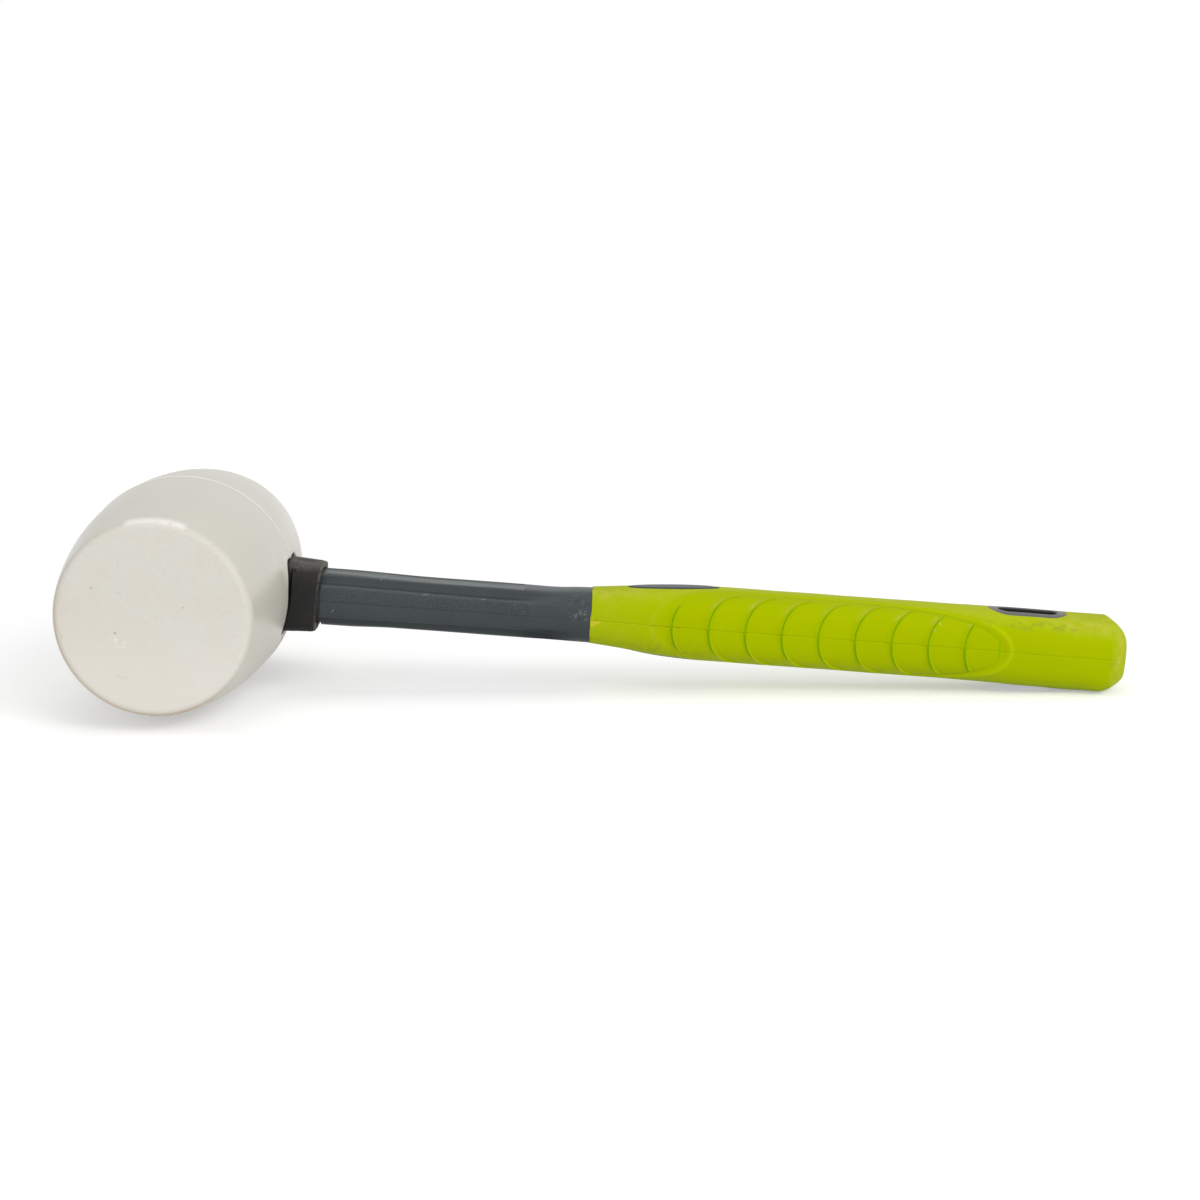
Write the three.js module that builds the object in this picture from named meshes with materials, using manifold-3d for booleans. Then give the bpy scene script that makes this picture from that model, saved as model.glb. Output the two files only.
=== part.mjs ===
// A tent mallet lying on its side, as it rests on a table: a white rubber barrel head, a black sleeve in
// the head's socket, a grey plastic handle jacket over a fibreglass rod, and a lime rubber grip.
//
// Millimetres, +Z up. The handle points along +X and the head's axis lies along Y. The origin is on the
// table, below the middle of the mallet. The pieces are built in the handle's own frame, where X is the
// handle's axis and 0 is the middle of the head, and one group then leans them onto the table.

import * as THREE from 'three';
import { mergeVertices } from 'three/addons/utils/BufferGeometryUtils.js';
import Module from 'manifold-3d';

// Driving dimensions: fit

const FIT = 0.3; // gap between two pieces that touch
const OVERCUT = 1; // how far a cutting solid reaches past the face that it opens

// Driving dimensions: head

const HEAD_LENGTH = 105;
const BELLY_DIAMETER = 69;
const FACE_DIAMETER = 58.5;
const FACE_RIM_RADIUS = 2.2;
const SOCKET_BACK_WALL = 16; // rubber left behind the blind socket

// Driving dimensions: sleeve

const SLEEVE_WALL = 2.4;
const SLEEVE_END_WALL = 2.4;
const SLEEVE_STANDOUT = 9; // length that shows outside the head's belly
const SLEEVE_SQUARENESS = 6;

// Driving dimensions: rod, shaft and tenon

const ROD_DIAMETER = 8;
const ROD_TO_SLOT = 4; // jacket left between the rod's end and the slot's rim
const SHAFT_WALL = 3.7; // jacket above and below the rod
const SHAFT_SIDE_WALL = 5.4; // jacket on the near and far side of the rod
const SHAFT_SQUARENESS = 2.8;
const SHAFT_BLEND = 14; // length over which the shaft takes the grip's front section
const BAND_HEIGHT = 9; // raised flat band along the near and far side
const BAND_RISE = 0.4;
const FLUTE_WIDTH = 7.5; // shallow channel along the upper and lower cheek
const FLUTE_RECESS = 0.4;
const FLUTE_TO_GRIP = 21.3;
const BARB_COUNT = 3; // barbs that hold the tenon in the sleeve and the sleeve in the head
const BARB_LENGTH = 5;
const BARB_RISE = 0.7;
const BARB_ROOT = 0.2; // how deep a barb's low end starts below the surface

// Driving dimensions: grip

const HANDLE_REACH = 293.5; // middle of the head to the butt
const GRIP_LENGTH = 166.7;
const GRIP_WALL = 2.5;
const FRONT_WALL = 1.8; // jacket above and below the rod at the grip's front
const FRONT_SIDE_WALL = 2.7;
const SWELL_LENGTH = 44; // length over which the front swells to the palm
const PALM_HEIGHT = 22.8;
const PALM_DEPTH = 22.8;
const FLARE_LENGTH = 62; // length over which the palm flares to the butt
const BUTT_HEIGHT = 23.5;
const BUTT_DEPTH = 25.8;
const BUTT_BEVEL_LENGTH = 5.5;
const BUTT_BEVEL_DROP = 5.2;
const BUTT_BEVEL_SQUARENESS = 1.3; // 1 is a straight chamfer, 2 a quarter of an ellipse
const BUTT_WALL = 7; // rubber behind the end of the jacket
const GRIP_SQUARENESS = 2.6;

// Driving dimensions: oval pads and hang slot, where the jacket shows through the grip

const PAD_RISE = 0.3; // how far the oval pads stand out of the grip; the slot's rim is flush with it
const OVAL_LENGTH = 28.4;
const OVAL_WIDTH = 6.2;
const OVAL_FROM_FRONT = 25.2; // grip's front to the oval's middle
const SLOT_LENGTH = 18.5;
const SLOT_WIDTH = 6.5;
const SLOT_RIM = 3;
const SLOT_FROM_BUTT = 30.6; // butt to the slot's middle

// Facet counts

const HEAD_SIDES = 56;
const HEAD_SIDE_STEPS = 9; // odd, so that the belly has a belt to lie on
const RIM_STEPS = 3;
const SECTION_SIDES = 32;
const ROD_SIDES = 20;
const GRIP_STEPS = 12;
const BLEND_STEPS = 3;
const BEVEL_STEPS = 3;
const CURVE_SEGMENTS = 8;

// Places along the handle, worked out from the dimensions above

const BELLY_RADIUS = BELLY_DIAMETER / 2;
const FACE_RADIUS = FACE_DIAMETER / 2;
const SLEEVE_BACK = SOCKET_BACK_WALL + FIT - BELLY_RADIUS;
const SLEEVE_MOUTH = BELLY_RADIUS + SLEEVE_STANDOUT;
const TENON_TIP = SLEEVE_BACK + SLEEVE_END_WALL + FIT;
const GRIP_START = HANDLE_REACH - GRIP_LENGTH;
const BLEND_START = GRIP_START - SHAFT_BLEND;
const BEVEL_START = HANDLE_REACH - BUTT_BEVEL_LENGTH;
const JACKET_END = HANDLE_REACH - BUTT_WALL;
const OVAL_MIDDLE = GRIP_START + OVAL_FROM_FRONT;
const SLOT_MIDDLE = HANDLE_REACH - SLOT_FROM_BUTT;
const ROD_END = SLOT_MIDDLE - SLOT_LENGTH / 2 - SLOT_RIM - ROD_TO_SLOT;

const wasm = await Module();
wasm.setup();

// Solids

// A closed solid from a three.js geometry: shared corners merged, empty triangles at the poles dropped
function toSolid(geometry) {
  geometry.deleteAttribute('normal');
  geometry.deleteAttribute('uv');
  const merged = mergeVertices(geometry);
  const corners = merged.index.array;
  const triangles = [];
  for (let i = 0; i < corners.length; i += 3) {
    const triangle = corners.slice(i, i + 3);
    if (new Set(triangle).size === 3) triangles.push(...triangle);
  }
  const vertProperties = merged.attributes.position.array;
  const triVerts = new Uint32Array(triangles);
  return new wasm.Manifold(new wasm.Mesh({ numProp: 3, vertProperties, triVerts }));
}

function toMesh(name, solid, colour, roughness) {
  const { vertProperties, triVerts } = solid.getMesh();
  const geometry = new THREE.BufferGeometry();
  geometry.setAttribute('position', new THREE.BufferAttribute(vertProperties, 3));
  geometry.setIndex(new THREE.BufferAttribute(triVerts, 1));
  geometry.computeVertexNormals();
  const material = new THREE.MeshStandardMaterial({ color: colour, roughness, metalness: 0 });
  const mesh = new THREE.Mesh(geometry, material);
  mesh.name = name;
  return mesh;
}

// A bar across the handle: square edges, its middle on the handle's axis or raised above it
function bar(from, to, depth, height, raise = 0) {
  const geometry = new THREE.BoxGeometry(to - from, depth, height);
  geometry.translate((from + to) / 2, 0, raise);
  return toSolid(geometry);
}

function rod(from, to, diameter) {
  const geometry = new THREE.CylinderGeometry(diameter / 2, diameter / 2, to - from, ROD_SIDES);
  geometry.rotateZ(-Math.PI / 2);
  geometry.translate((from + to) / 2, 0, 0);
  return toSolid(geometry);
}

// A prism that stands right through the grip, with its outline drawn in the handle's plane
function prism(outline, station) {
  const height = 2 * Math.max(PALM_HEIGHT, BUTT_HEIGHT);
  const geometry = new THREE.ExtrudeGeometry(outline, {
    depth: height,
    bevelEnabled: false,
    curveSegments: CURVE_SEGMENTS,
  });
  geometry.translate(station, 0, -height / 2);
  return toSolid(geometry);
}

function oval(grow) {
  const outline = new THREE.Shape();
  outline.absellipse(0, 0, OVAL_LENGTH / 2 + grow, OVAL_WIDTH / 2 + grow, 0, 2 * Math.PI);
  return prism(outline, OVAL_MIDDLE);
}

function slot(grow) {
  const outline = new THREE.Shape();
  const reach = (SLOT_LENGTH - SLOT_WIDTH) / 2;
  const radius = SLOT_WIDTH / 2 + grow;
  outline.absarc(reach, 0, radius, -Math.PI / 2, Math.PI / 2);
  outline.absarc(-reach, 0, radius, Math.PI / 2, (3 * Math.PI) / 2);
  return prism(outline, SLOT_MIDDLE);
}

// Sections and lofts. A section is a superellipse across the handle: depth along Y, height along Z.

function grown(section, by) {
  return { ...section, depth: section.depth + 2 * by, height: section.height + 2 * by };
}

function blended(first, second, share) {
  const mix = (key) => THREE.MathUtils.lerp(first[key], second[key], share);
  return { depth: mix('depth'), height: mix('height'), squareness: mix('squareness') };
}

function ring(station, section) {
  const reach = (unit) => Math.sign(unit) * Math.abs(unit) ** (2 / section.squareness);
  const points = [];
  for (let side = 0; side < SECTION_SIDES; side += 1) {
    const angle = (2 * Math.PI * side) / SECTION_SIDES;
    const y = (reach(Math.cos(angle)) * section.depth) / 2;
    const z = (reach(Math.sin(angle)) * section.height) / 2;
    points.push(station, y, z);
  }
  return points;
}

// A closed skin over rings of equal sides, with a flat cap on the first and the last
function loft(rings) {
  const last = rings.length - 1;
  const backMiddle = rings.length * SECTION_SIDES;
  const frontMiddle = backMiddle + 1;
  const positions = [...rings.flat(), rings[0][0], 0, 0, rings[last][0], 0, 0];
  const triangles = [];
  for (let side = 0; side < SECTION_SIDES; side += 1) {
    const next = (side + 1) % SECTION_SIDES;
    for (let step = 0; step < last; step += 1) {
      const here = step * SECTION_SIDES;
      const ahead = here + SECTION_SIDES;
      triangles.push(here + side, here + next, ahead + side);
      triangles.push(here + next, ahead + next, ahead + side);
    }
    triangles.push(backMiddle, next, side);
    triangles.push(frontMiddle, last * SECTION_SIDES + side, last * SECTION_SIDES + next);
  }
  const geometry = new THREE.BufferGeometry();
  geometry.setAttribute('position', new THREE.Float32BufferAttribute(positions, 3));
  geometry.setIndex(triangles);
  return toSolid(geometry);
}

function straight(from, to, section) {
  return loft([ring(from, section), ring(to, section)]);
}

function stations(from, to, steps) {
  return Array.from({ length: steps + 1 }, (_, step) => from + ((to - from) * step) / steps);
}

// The handle's sections

const shaftSection = {
  depth: ROD_DIAMETER + 2 * (FIT + SHAFT_SIDE_WALL),
  height: ROD_DIAMETER + 2 * (FIT + SHAFT_WALL),
  squareness: SHAFT_SQUARENESS,
};

const sleeveSection = {
  ...grown(shaftSection, FIT + SLEEVE_WALL),
  squareness: SLEEVE_SQUARENESS,
};

// The grip's front is as large as the rod, the jacket and the grip's own wall make it. It swells to the
// palm, flares to the butt, and its end is bevelled off by a quarter of a superellipse.
function gripSection(station) {
  const frontDepth = ROD_DIAMETER + 2 * (FIT + FRONT_SIDE_WALL + GRIP_WALL);
  const frontHeight = ROD_DIAMETER + 2 * (FIT + FRONT_WALL + GRIP_WALL);
  const along = THREE.MathUtils.clamp((station - GRIP_START) / SWELL_LENGTH, 0, 1);
  const swell = Math.sin((along * Math.PI) / 2);
  const flare = THREE.MathUtils.smoothstep(station, HANDLE_REACH - FLARE_LENGTH, BEVEL_START);
  const past = THREE.MathUtils.clamp((station - BEVEL_START) / BUTT_BEVEL_LENGTH, 0, 1);
  const left = (1 - past ** BUTT_BEVEL_SQUARENESS) ** (1 / BUTT_BEVEL_SQUARENESS);
  const bevel = BUTT_BEVEL_DROP * (1 - left);
  const size = (front, palm, butt) => front + (palm - front) * swell + (butt - palm) * flare - 2 * bevel;
  return {
    depth: size(frontDepth, PALM_DEPTH, BUTT_DEPTH),
    height: size(frontHeight, PALM_HEIGHT, BUTT_HEIGHT),
    squareness: GRIP_SQUARENESS,
  };
}

// The grip's outer form, or the same form a little larger
function gripForm(grow) {
  const body = stations(GRIP_START, BEVEL_START, GRIP_STEPS);
  const bevel = stations(0, Math.PI / 2, BEVEL_STEPS).slice(1);
  const end = bevel.map((angle) => BEVEL_START + BUTT_BEVEL_LENGTH * Math.sin(angle));
  const rings = [...body, ...end].map((station) => ring(station, grown(gripSection(station), grow)));
  return loft(rings);
}

// The jacket under the grip, from a station at or before the grip's front to the jacket's end
function coreRings(from, grow) {
  const places = stations(GRIP_START, JACKET_END, GRIP_STEPS);
  const sections = places.map((station) => grown(gripSection(station), grow - GRIP_WALL));
  places[0] = from;
  places[GRIP_STEPS] += grow;
  return places.map((station, step) => ring(station, sections[step]));
}

// A body with barbs around it. Each barb rises towards the handle and drops off square, so that it goes in
// and stays in. They are spread evenly over the length that the head covers.
function withBarbs(body, section, grow) {
  const pitch = (BELLY_RADIUS - TENON_TIP) / BARB_COUNT;
  let barbed = body;
  for (let count = 0; count < BARB_COUNT; count += 1) {
    const middle = TENON_TIP + pitch * (count + 0.5);
    const low = ring(middle - BARB_LENGTH / 2 - grow, grown(section, grow - BARB_ROOT));
    const high = ring(middle + BARB_LENGTH / 2 + grow, grown(section, grow + BARB_RISE));
    barbed = barbed.add(loft([low, high]));
  }
  return barbed;
}

// Pieces

// The sleeve's outer form. The head's socket is the same form, a fit larger.
function sleeveForm(grow) {
  const body = straight(SLEEVE_BACK - grow, SLEEVE_MOUTH, grown(sleeveSection, grow));
  return withBarbs(body, sleeveSection, grow);
}

// A barrel with flat faces: its side is a parabola from the belly to the rims
function makeHead() {
  const sideReach = HEAD_LENGTH / 2 - FACE_RIM_RADIUS;
  const side = stations(-sideReach, sideReach, HEAD_SIDE_STEPS).slice(1, -1).map((y) => {
    const radius = BELLY_RADIUS - (BELLY_RADIUS - FACE_RADIUS) * (y / sideReach) ** 2;
    return new THREE.Vector2(radius, y);
  });
  const rim = (start) => stations(start, start + Math.PI / 2, RIM_STEPS).map((angle) => {
    const radius = FACE_RADIUS + FACE_RIM_RADIUS * (Math.cos(angle) - 1);
    const y = Math.sign(start + Math.PI / 4) * sideReach + FACE_RIM_RADIUS * Math.sin(angle);
    return new THREE.Vector2(radius, y);
  });
  const nearPole = new THREE.Vector2(0, -HEAD_LENGTH / 2);
  const farPole = new THREE.Vector2(0, HEAD_LENGTH / 2);
  const profile = [nearPole, ...rim(-Math.PI / 2), ...side, ...rim(0), farPole];
  const barrel = toSolid(new THREE.LatheGeometry(profile, HEAD_SIDES));
  return toMesh('head', barrel.subtract(sleeveForm(FIT)), 0xdedbd2, 0.75);
}

// A cup with a closed end that lines the socket. Its bore is the barbed tenon, a fit larger.
function makeSleeve() {
  const bore = straight(TENON_TIP - FIT, SLEEVE_MOUTH + OVERCUT, grown(shaftSection, FIT));
  const cup = sleeveForm(0).subtract(withBarbs(bore, shaftSection, FIT));
  return toMesh('head_sleeve', cup, 0x292928, 0.8);
}

function makeRod() {
  return toMesh('core_rod', rod(TENON_TIP, ROD_END, ROD_DIAMETER), 0xd9cfa8, 0.4);
}

// Tenon, shaft and grip core in one moulding, with the oval pads and the slot's rim standing on the core
function makeJacket() {
  const shoulder = GRIP_START - FIT;
  const blend = stations(BLEND_START, shoulder, BLEND_STEPS).map((station, step) => {
    const share = THREE.MathUtils.smoothstep(step / BLEND_STEPS, 0, 1);
    return ring(station, blended(shaftSection, gripSection(GRIP_START), share));
  });
  const handle = loft([ring(TENON_TIP, shaftSection), ...blend, ...coreRings(shoulder, 0)]);
  const shaftStart = SLEEVE_MOUTH + FIT;
  const band = bar(shaftStart, BLEND_START, shaftSection.depth + 2 * BAND_RISE, BAND_HEIGHT);
  let jacket = withBarbs(handle, shaftSection, 0).add(band);
  jacket = jacket.add(oval(0).intersect(gripForm(PAD_RISE)));
  jacket = jacket.add(slot(SLOT_RIM).intersect(gripForm(0)));
  const fluteEnd = GRIP_START - FLUTE_TO_GRIP;
  for (const cheek of [-1, 1]) {
    const raise = (cheek * shaftSection.height) / 2;
    jacket = jacket.subtract(bar(shaftStart, fluteEnd, FLUTE_WIDTH, 2 * FLUTE_RECESS, raise));
  }
  const bore = rod(TENON_TIP - OVERCUT, ROD_END + FIT, ROD_DIAMETER + 2 * FIT);
  return toMesh('handle_jacket', jacket.subtract(bore).subtract(slot(0)), 0x495052, 0.5);
}

// A closed rubber skin over the core, with windows for the oval pads and the slot's rim
function makeGrip() {
  const core = loft(coreRings(GRIP_START - OVERCUT, FIT));
  const skin = gripForm(0).subtract(core).subtract(oval(FIT)).subtract(slot(SLOT_RIM + FIT));
  return toMesh('grip', skin, 0xabbb00, 0.65);
}

// The mallet, leaned over so that the head's belly and the butt's lower edge both touch the table

const buttDrop = gripSection(BEVEL_START).height / 2;
const buttReach = Math.hypot(BEVEL_START, buttDrop);
const lean = Math.asin(BELLY_RADIUS / buttReach) - Math.atan2(buttDrop, BEVEL_START);

const lying = new THREE.Group();
lying.rotation.y = lean;
lying.add(makeHead(), makeSleeve(), makeRod(), makeJacket(), makeGrip());

const extent = new THREE.Box3().setFromObject(lying, true);
const middle = extent.getCenter(new THREE.Vector3());
lying.position.set(-middle.x, -middle.y, -extent.min.z);

const mallet = new THREE.Group();
mallet.add(lying);

export default mallet;
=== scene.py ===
# %% [markdown]
# # A tent mallet, made from numpy surfaces
#
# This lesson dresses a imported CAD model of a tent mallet: a white rubber head, a black sleeve, a grey
# handle jacket and a lime grip. Every visible piece is one closed surface, worked out as whole numpy
# arrays and handed to Blender in one go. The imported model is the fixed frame, so nothing is placed by
# eye.

import bpy
import numpy as np
from mathutils import Matrix


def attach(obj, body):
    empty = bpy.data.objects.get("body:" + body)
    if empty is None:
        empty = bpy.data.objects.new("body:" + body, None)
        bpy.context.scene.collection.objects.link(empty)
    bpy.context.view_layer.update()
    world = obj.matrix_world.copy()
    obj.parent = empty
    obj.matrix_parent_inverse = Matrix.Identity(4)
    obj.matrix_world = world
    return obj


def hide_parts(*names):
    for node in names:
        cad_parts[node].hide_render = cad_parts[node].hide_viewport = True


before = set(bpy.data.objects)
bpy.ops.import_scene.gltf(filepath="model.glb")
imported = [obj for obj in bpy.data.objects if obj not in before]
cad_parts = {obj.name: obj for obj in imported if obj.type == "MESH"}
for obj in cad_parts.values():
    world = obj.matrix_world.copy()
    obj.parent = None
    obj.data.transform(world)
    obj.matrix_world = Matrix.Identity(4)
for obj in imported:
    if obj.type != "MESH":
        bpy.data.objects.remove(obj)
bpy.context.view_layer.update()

print("CAD nodes:", sorted(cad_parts))

# %% [markdown]
# ## Camera
#
# The picture was taken from a little above the table, square to the handle. A camera could be dragged
# into place, but a view that has been worked out is kept best as numbers: which way to look, from how
# far, and at which point. Three unit vectors make the camera's matrix, and the roll turns two of them.

# %% Camera
MM = 0.001
VIEW_AZIMUTH, VIEW_ELEVATION, VIEW_ROLL = np.radians([0.18, 11.41, -0.34])
VIEW_DISTANCE = 687.8 * MM
VIEW_TARGET = np.array([-0.02, 0.0, 29.02]) * MM
LENS, SENSOR_WIDTH = 66.0, 36.0


def camera_matrix(azimuth, elevation, roll, distance, target):
    """Back points from the target to the camera, right is level, and up is back x right.

    The roll turns right and up about back.
    """
    flat = np.cos(elevation)
    back = np.array([np.sin(azimuth) * flat, -np.cos(azimuth) * flat, np.sin(elevation)])
    right = np.array([np.cos(azimuth), np.sin(azimuth), 0.0])
    up = np.cross(back, right)
    turned_right = np.cos(roll) * right + np.sin(roll) * up
    turned_up = np.cos(roll) * up - np.sin(roll) * right
    matrix = np.eye(4)
    matrix[:3] = np.column_stack([turned_right, turned_up, back, target + distance * back])
    return Matrix(matrix.tolist())


camera = bpy.data.objects.new("camera", bpy.data.cameras.new("camera"))
camera.data.lens = LENS
camera.data.sensor_width = SENSOR_WIDTH
camera.matrix_world = camera_matrix(VIEW_AZIMUTH, VIEW_ELEVATION, VIEW_ROLL, VIEW_DISTANCE, VIEW_TARGET)
bpy.context.collection.objects.link(camera)
bpy.context.scene.camera = camera
bpy.context.scene.view_settings.view_transform = "Standard"
print("camera at", [round(value, 3) for value in camera.matrix_world.translation])

# %% [markdown]
# ## Node helper
#
# Every finish here is a Principled shader with procedural nodes around it. Adding a node takes several
# lines of bpy, so one small class keeps that in one place: it adds a node, sets its properties, and sets
# or links each input, whichever the value asks for.

# %% Node helper
def srgb(red, green, blue):
    """A colour written in 0..255 screen values, as the linear values that nodes want."""
    screen = np.array([red, green, blue]) / 255
    linear = np.where(screen <= 0.04045, screen / 12.92, ((screen + 0.055) / 1.055) ** 2.4)
    return (*linear.tolist(), 1.0)


class Nodes:
    """Short words for building one node tree."""

    def __init__(self, tree):
        self.tree = tree

    def feed(self, socket, value):
        """Link a socket to an input, or set the input to a plain value."""
        if isinstance(value, bpy.types.NodeSocket):
            self.tree.links.new(value, socket)
        else:
            socket.default_value = value

    def add(self, kind, inputs, **settings):
        """A new node with its properties set and its inputs set or linked."""
        node = self.tree.nodes.new(kind)
        for key, value in settings.items():
            setattr(node, key, value)
        for key, value in inputs.items():
            self.feed(node.inputs[key], value)
        return node

    def math(self, operation, first, second):
        """Arithmetic on two numbers."""
        return self.add("ShaderNodeMath", {0: first, 1: second}, operation=operation).outputs[0]

    def vector(self, operation, first, second):
        """Vector arithmetic; an operation that gives one number has it in the second output."""
        node = self.add("ShaderNodeVectorMath", {0: first, 1: second}, operation=operation)
        return node.outputs[1 if operation in ("DISTANCE", "DOT_PRODUCT") else 0]

    def ease(self, value, low, high):
        """0 below low, 1 above high, smooth between; low may be the larger one, which turns it round."""
        inputs = {"Value": value, "From Min": low, "From Max": high}
        return self.add("ShaderNodeMapRange", inputs, interpolation_type="SMOOTHSTEP").outputs[0]

    def between(self, value, low, high):
        """A value of 0..1 stretched to low..high."""
        inputs = {"Value": value, "To Min": low, "To Max": high}
        return self.add("ShaderNodeMapRange", inputs).outputs[0]

    def mix(self, share, first, second):
        """The first colour where share is 0, the second where it is 1."""
        node = self.add("ShaderNodeMix", {0: share, 6: first, 7: second}, data_type="RGBA")
        return node.outputs[2]


print("white of 222 is", round(srgb(222, 222, 222)[0], 3), "in linear light")

# %% [markdown]
# ## Light and floor
#
# The mallet lies on a white floor under large soft lamps, with the strongest at the upper right. The
# lamps are set to a level at which a colour renders about as it is written. The background is white
# because floor and world also glow, for camera, glossy and transmission rays only. Near the mallet the
# floor glows little, so that its shadow stays; far away, where the lamps don't reach, it glows as white
# as the world.

# %% World, lamps and floor
WHITE = (1.0, 1.0, 1.0, 1.0)
PAPER = (0.85, 0.85, 0.85, 1.0)
AMBIENT = 0.42
FLOOR_SIZE = 6.0
NEAR_GLOW, FAR_GLOW = 0.37, 1.0
NEAR_REACH, FAR_REACH = 0.35, 0.9
MALLET_MIDDLE = (0.0, 0.0, 0.03)


def seen_directly(nodes):
    """1 for camera, glossy and transmission rays, 0 for rays that only carry light."""
    path = nodes.add("ShaderNodeLightPath", {}).outputs
    looking = nodes.math("MAXIMUM", path["Is Camera Ray"], path["Is Glossy Ray"])
    return nodes.math("MAXIMUM", looking, path["Is Transmission Ray"])


world = bpy.data.worlds.new("white_room")
world.use_nodes = True
bpy.context.scene.world = world
room = Nodes(world.node_tree)
backdrop = world.node_tree.nodes["Background"]
backdrop.inputs["Color"].default_value = WHITE
room.feed(backdrop.inputs["Strength"], room.between(seen_directly(room), AMBIENT, 1.0))


def soft_box(name, place, width, height, level):
    """An area lamp that gives `level` times full brightness on a white card at the mallet that faces it.

    A card at distance d gets power / (pi * d^2), and full brightness is pi, so power = level * pi^2 * d^2.
    """
    lamp = bpy.data.lights.new(name, "AREA")
    lamp.shape = "RECTANGLE"
    lamp.size, lamp.size_y = width, height
    back = np.array(place) - np.array(MALLET_MIDDLE)
    distance = np.linalg.norm(back)
    lamp.energy = level * np.pi**2 * distance**2
    back /= distance
    right = np.cross([0.0, 0.0, 1.0], back)
    right /= np.linalg.norm(right)
    matrix = np.eye(4)
    matrix[:3] = np.column_stack([right, np.cross(back, right), back, place])
    holder = bpy.data.objects.new(name, lamp)
    holder.matrix_world = Matrix(matrix.tolist())
    bpy.context.collection.objects.link(holder)


soft_box("key_box", (0.9, -1.3, 1.2), 0.9, 0.9, 0.34)
soft_box("front_box", (-0.6, -1.6, 0.35), 1.2, 0.9, 0.21)
soft_box("side_box", (1.5, -0.5, 0.7), 0.9, 0.9, 0.13)
soft_box("top_box", (-0.1, 0.0, 1.5), 1.4, 1.0, 0.18)

half = FLOOR_SIZE / 2
floor_mesh = bpy.data.meshes.new("floor")
floor_corners = [(-half, -half, 0), (half, -half, 0), (half, half, 0), (-half, half, 0)]
floor_mesh.from_pydata(floor_corners, [], [(0, 1, 2, 3)])
floor = bpy.data.objects.new("floor", floor_mesh)
bpy.context.collection.objects.link(floor)
paper = bpy.data.materials.new("white_paper")
paper.use_nodes = True
floor_mesh.materials.append(paper)
sheet = Nodes(paper.node_tree)
paper_shader = paper.node_tree.nodes["Principled BSDF"]
paper_shader.inputs["Base Color"].default_value = PAPER
paper_shader.inputs["Roughness"].default_value = 1.0
paper_shader.inputs["Specular IOR Level"].default_value = 0.0
paper_shader.inputs["Emission Color"].default_value = WHITE
paper_place = sheet.add("ShaderNodeTexCoord", {}).outputs["Object"]
paper_reach = sheet.vector("DISTANCE", paper_place, MALLET_MIDDLE)
paper_glow = sheet.between(sheet.ease(paper_reach, NEAR_REACH, FAR_REACH), NEAR_GLOW, FAR_GLOW)
paper_glow = sheet.math("MULTIPLY", seen_directly(sheet), paper_glow)
sheet.feed(paper_shader.inputs["Emission Strength"], paper_glow)
print("floor", FLOOR_SIZE, "m wide, lamps:", [light.name for light in bpy.data.lights])

# %% [markdown]
# ## The handle's frame
#
# The mallet lies with its head and its butt on the table, so the handle leans a few degrees. All shapes
# are easier in the handle's own frame: s runs along the handle from the middle of the head, y along the
# head, z up, in millimetres. One turn and one shift then lay finished points down on the table.

# %% The handle's frame
BELLY = 34.5
BEVEL_START = 288.0
BUTT_DROP = 11.75
HEAD_MIDDLE = np.array([-129.341, 0.0, BELLY])
LEAN = np.arcsin(BELLY / np.hypot(BEVEL_START, BUTT_DROP)) - np.arctan2(BUTT_DROP, BEVEL_START)


def lay_down(points):
    """Turn points by the lean about y, then move them from the head's middle to its place on the table."""
    s, y, z = points.T
    along = s * np.cos(LEAN) + z * np.sin(LEAN)
    above = z * np.cos(LEAN) - s * np.sin(LEAN)
    return np.stack([along, y, above], axis=1) + HEAD_MIDDLE


print("the handle leans", round(float(np.degrees(LEAN)), 3), "degrees")

# %% [markdown]
# ## A shell of grids and loops
#
# A moulded piece is a closed skin. Here it is sewn from grids of points whose rows are closed loops: a
# grid along the piece, a cap at each end, and, where something passes through, a window cut from the grid
# and loops that lead from its rim into the opening. If every loop runs the same way round, every face
# looks outwards, and a count of the edges shows whether the skin is closed.

# %% Shell
class Shell:
    """Points and faces of one piece while it is being sewn together."""

    def __init__(self):
        self.blocks = []
        self.quads = []
        self.triangles = []
        self.total = 0

    def add(self, points):
        """Keep points of shape (..., 3) and give back their numbers in the shape (...)."""
        numbers = self.total + np.arange(points.size // 3).reshape(points.shape[:-1])
        self.blocks.append(points.reshape(-1, 3))
        self.total += numbers.size
        return numbers

    def points(self):
        """All points so far, one to a row."""
        return np.concatenate(self.blocks)

    def net(self, numbers, kept=True):
        """Quads between the neighbours in a grid of point numbers whose rows are closed loops."""
        ahead = np.roll(numbers, -1, axis=1)
        cells = np.stack([numbers[:-1], ahead[:-1], ahead[1:], numbers[1:]], axis=-1)
        self.quads.append(cells[np.broadcast_to(kept, cells.shape[:2])])

    def cap(self, loop, middle):
        """Triangles from a loop to one new point in its middle."""
        tip = self.add(np.array([middle], dtype=float))[0]
        self.triangles.append(np.stack([loop, np.roll(loop, -1), np.full_like(loop, tip)], axis=-1))

    def path(self, first, rings, last=None):
        """Sew a loop of numbers to rings of new points, one by one, and to a last loop if there is one."""
        loops = np.vstack([first[None], self.add(np.stack(rings))])
        if last is not None:
            loops = np.vstack([loops, last[None]])
        self.net(loops)
        return loops[-1]


def window(grid, rows, columns):
    """The rim of a rectangular window in a grid, as a loop of numbers."""
    top, bottom = rows
    left, right = columns
    return np.concatenate([
        grid[top, left:right],
        grid[top:bottom, right],
        grid[bottom, right:left:-1],
        grid[bottom:top:-1, left],
    ])


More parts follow.
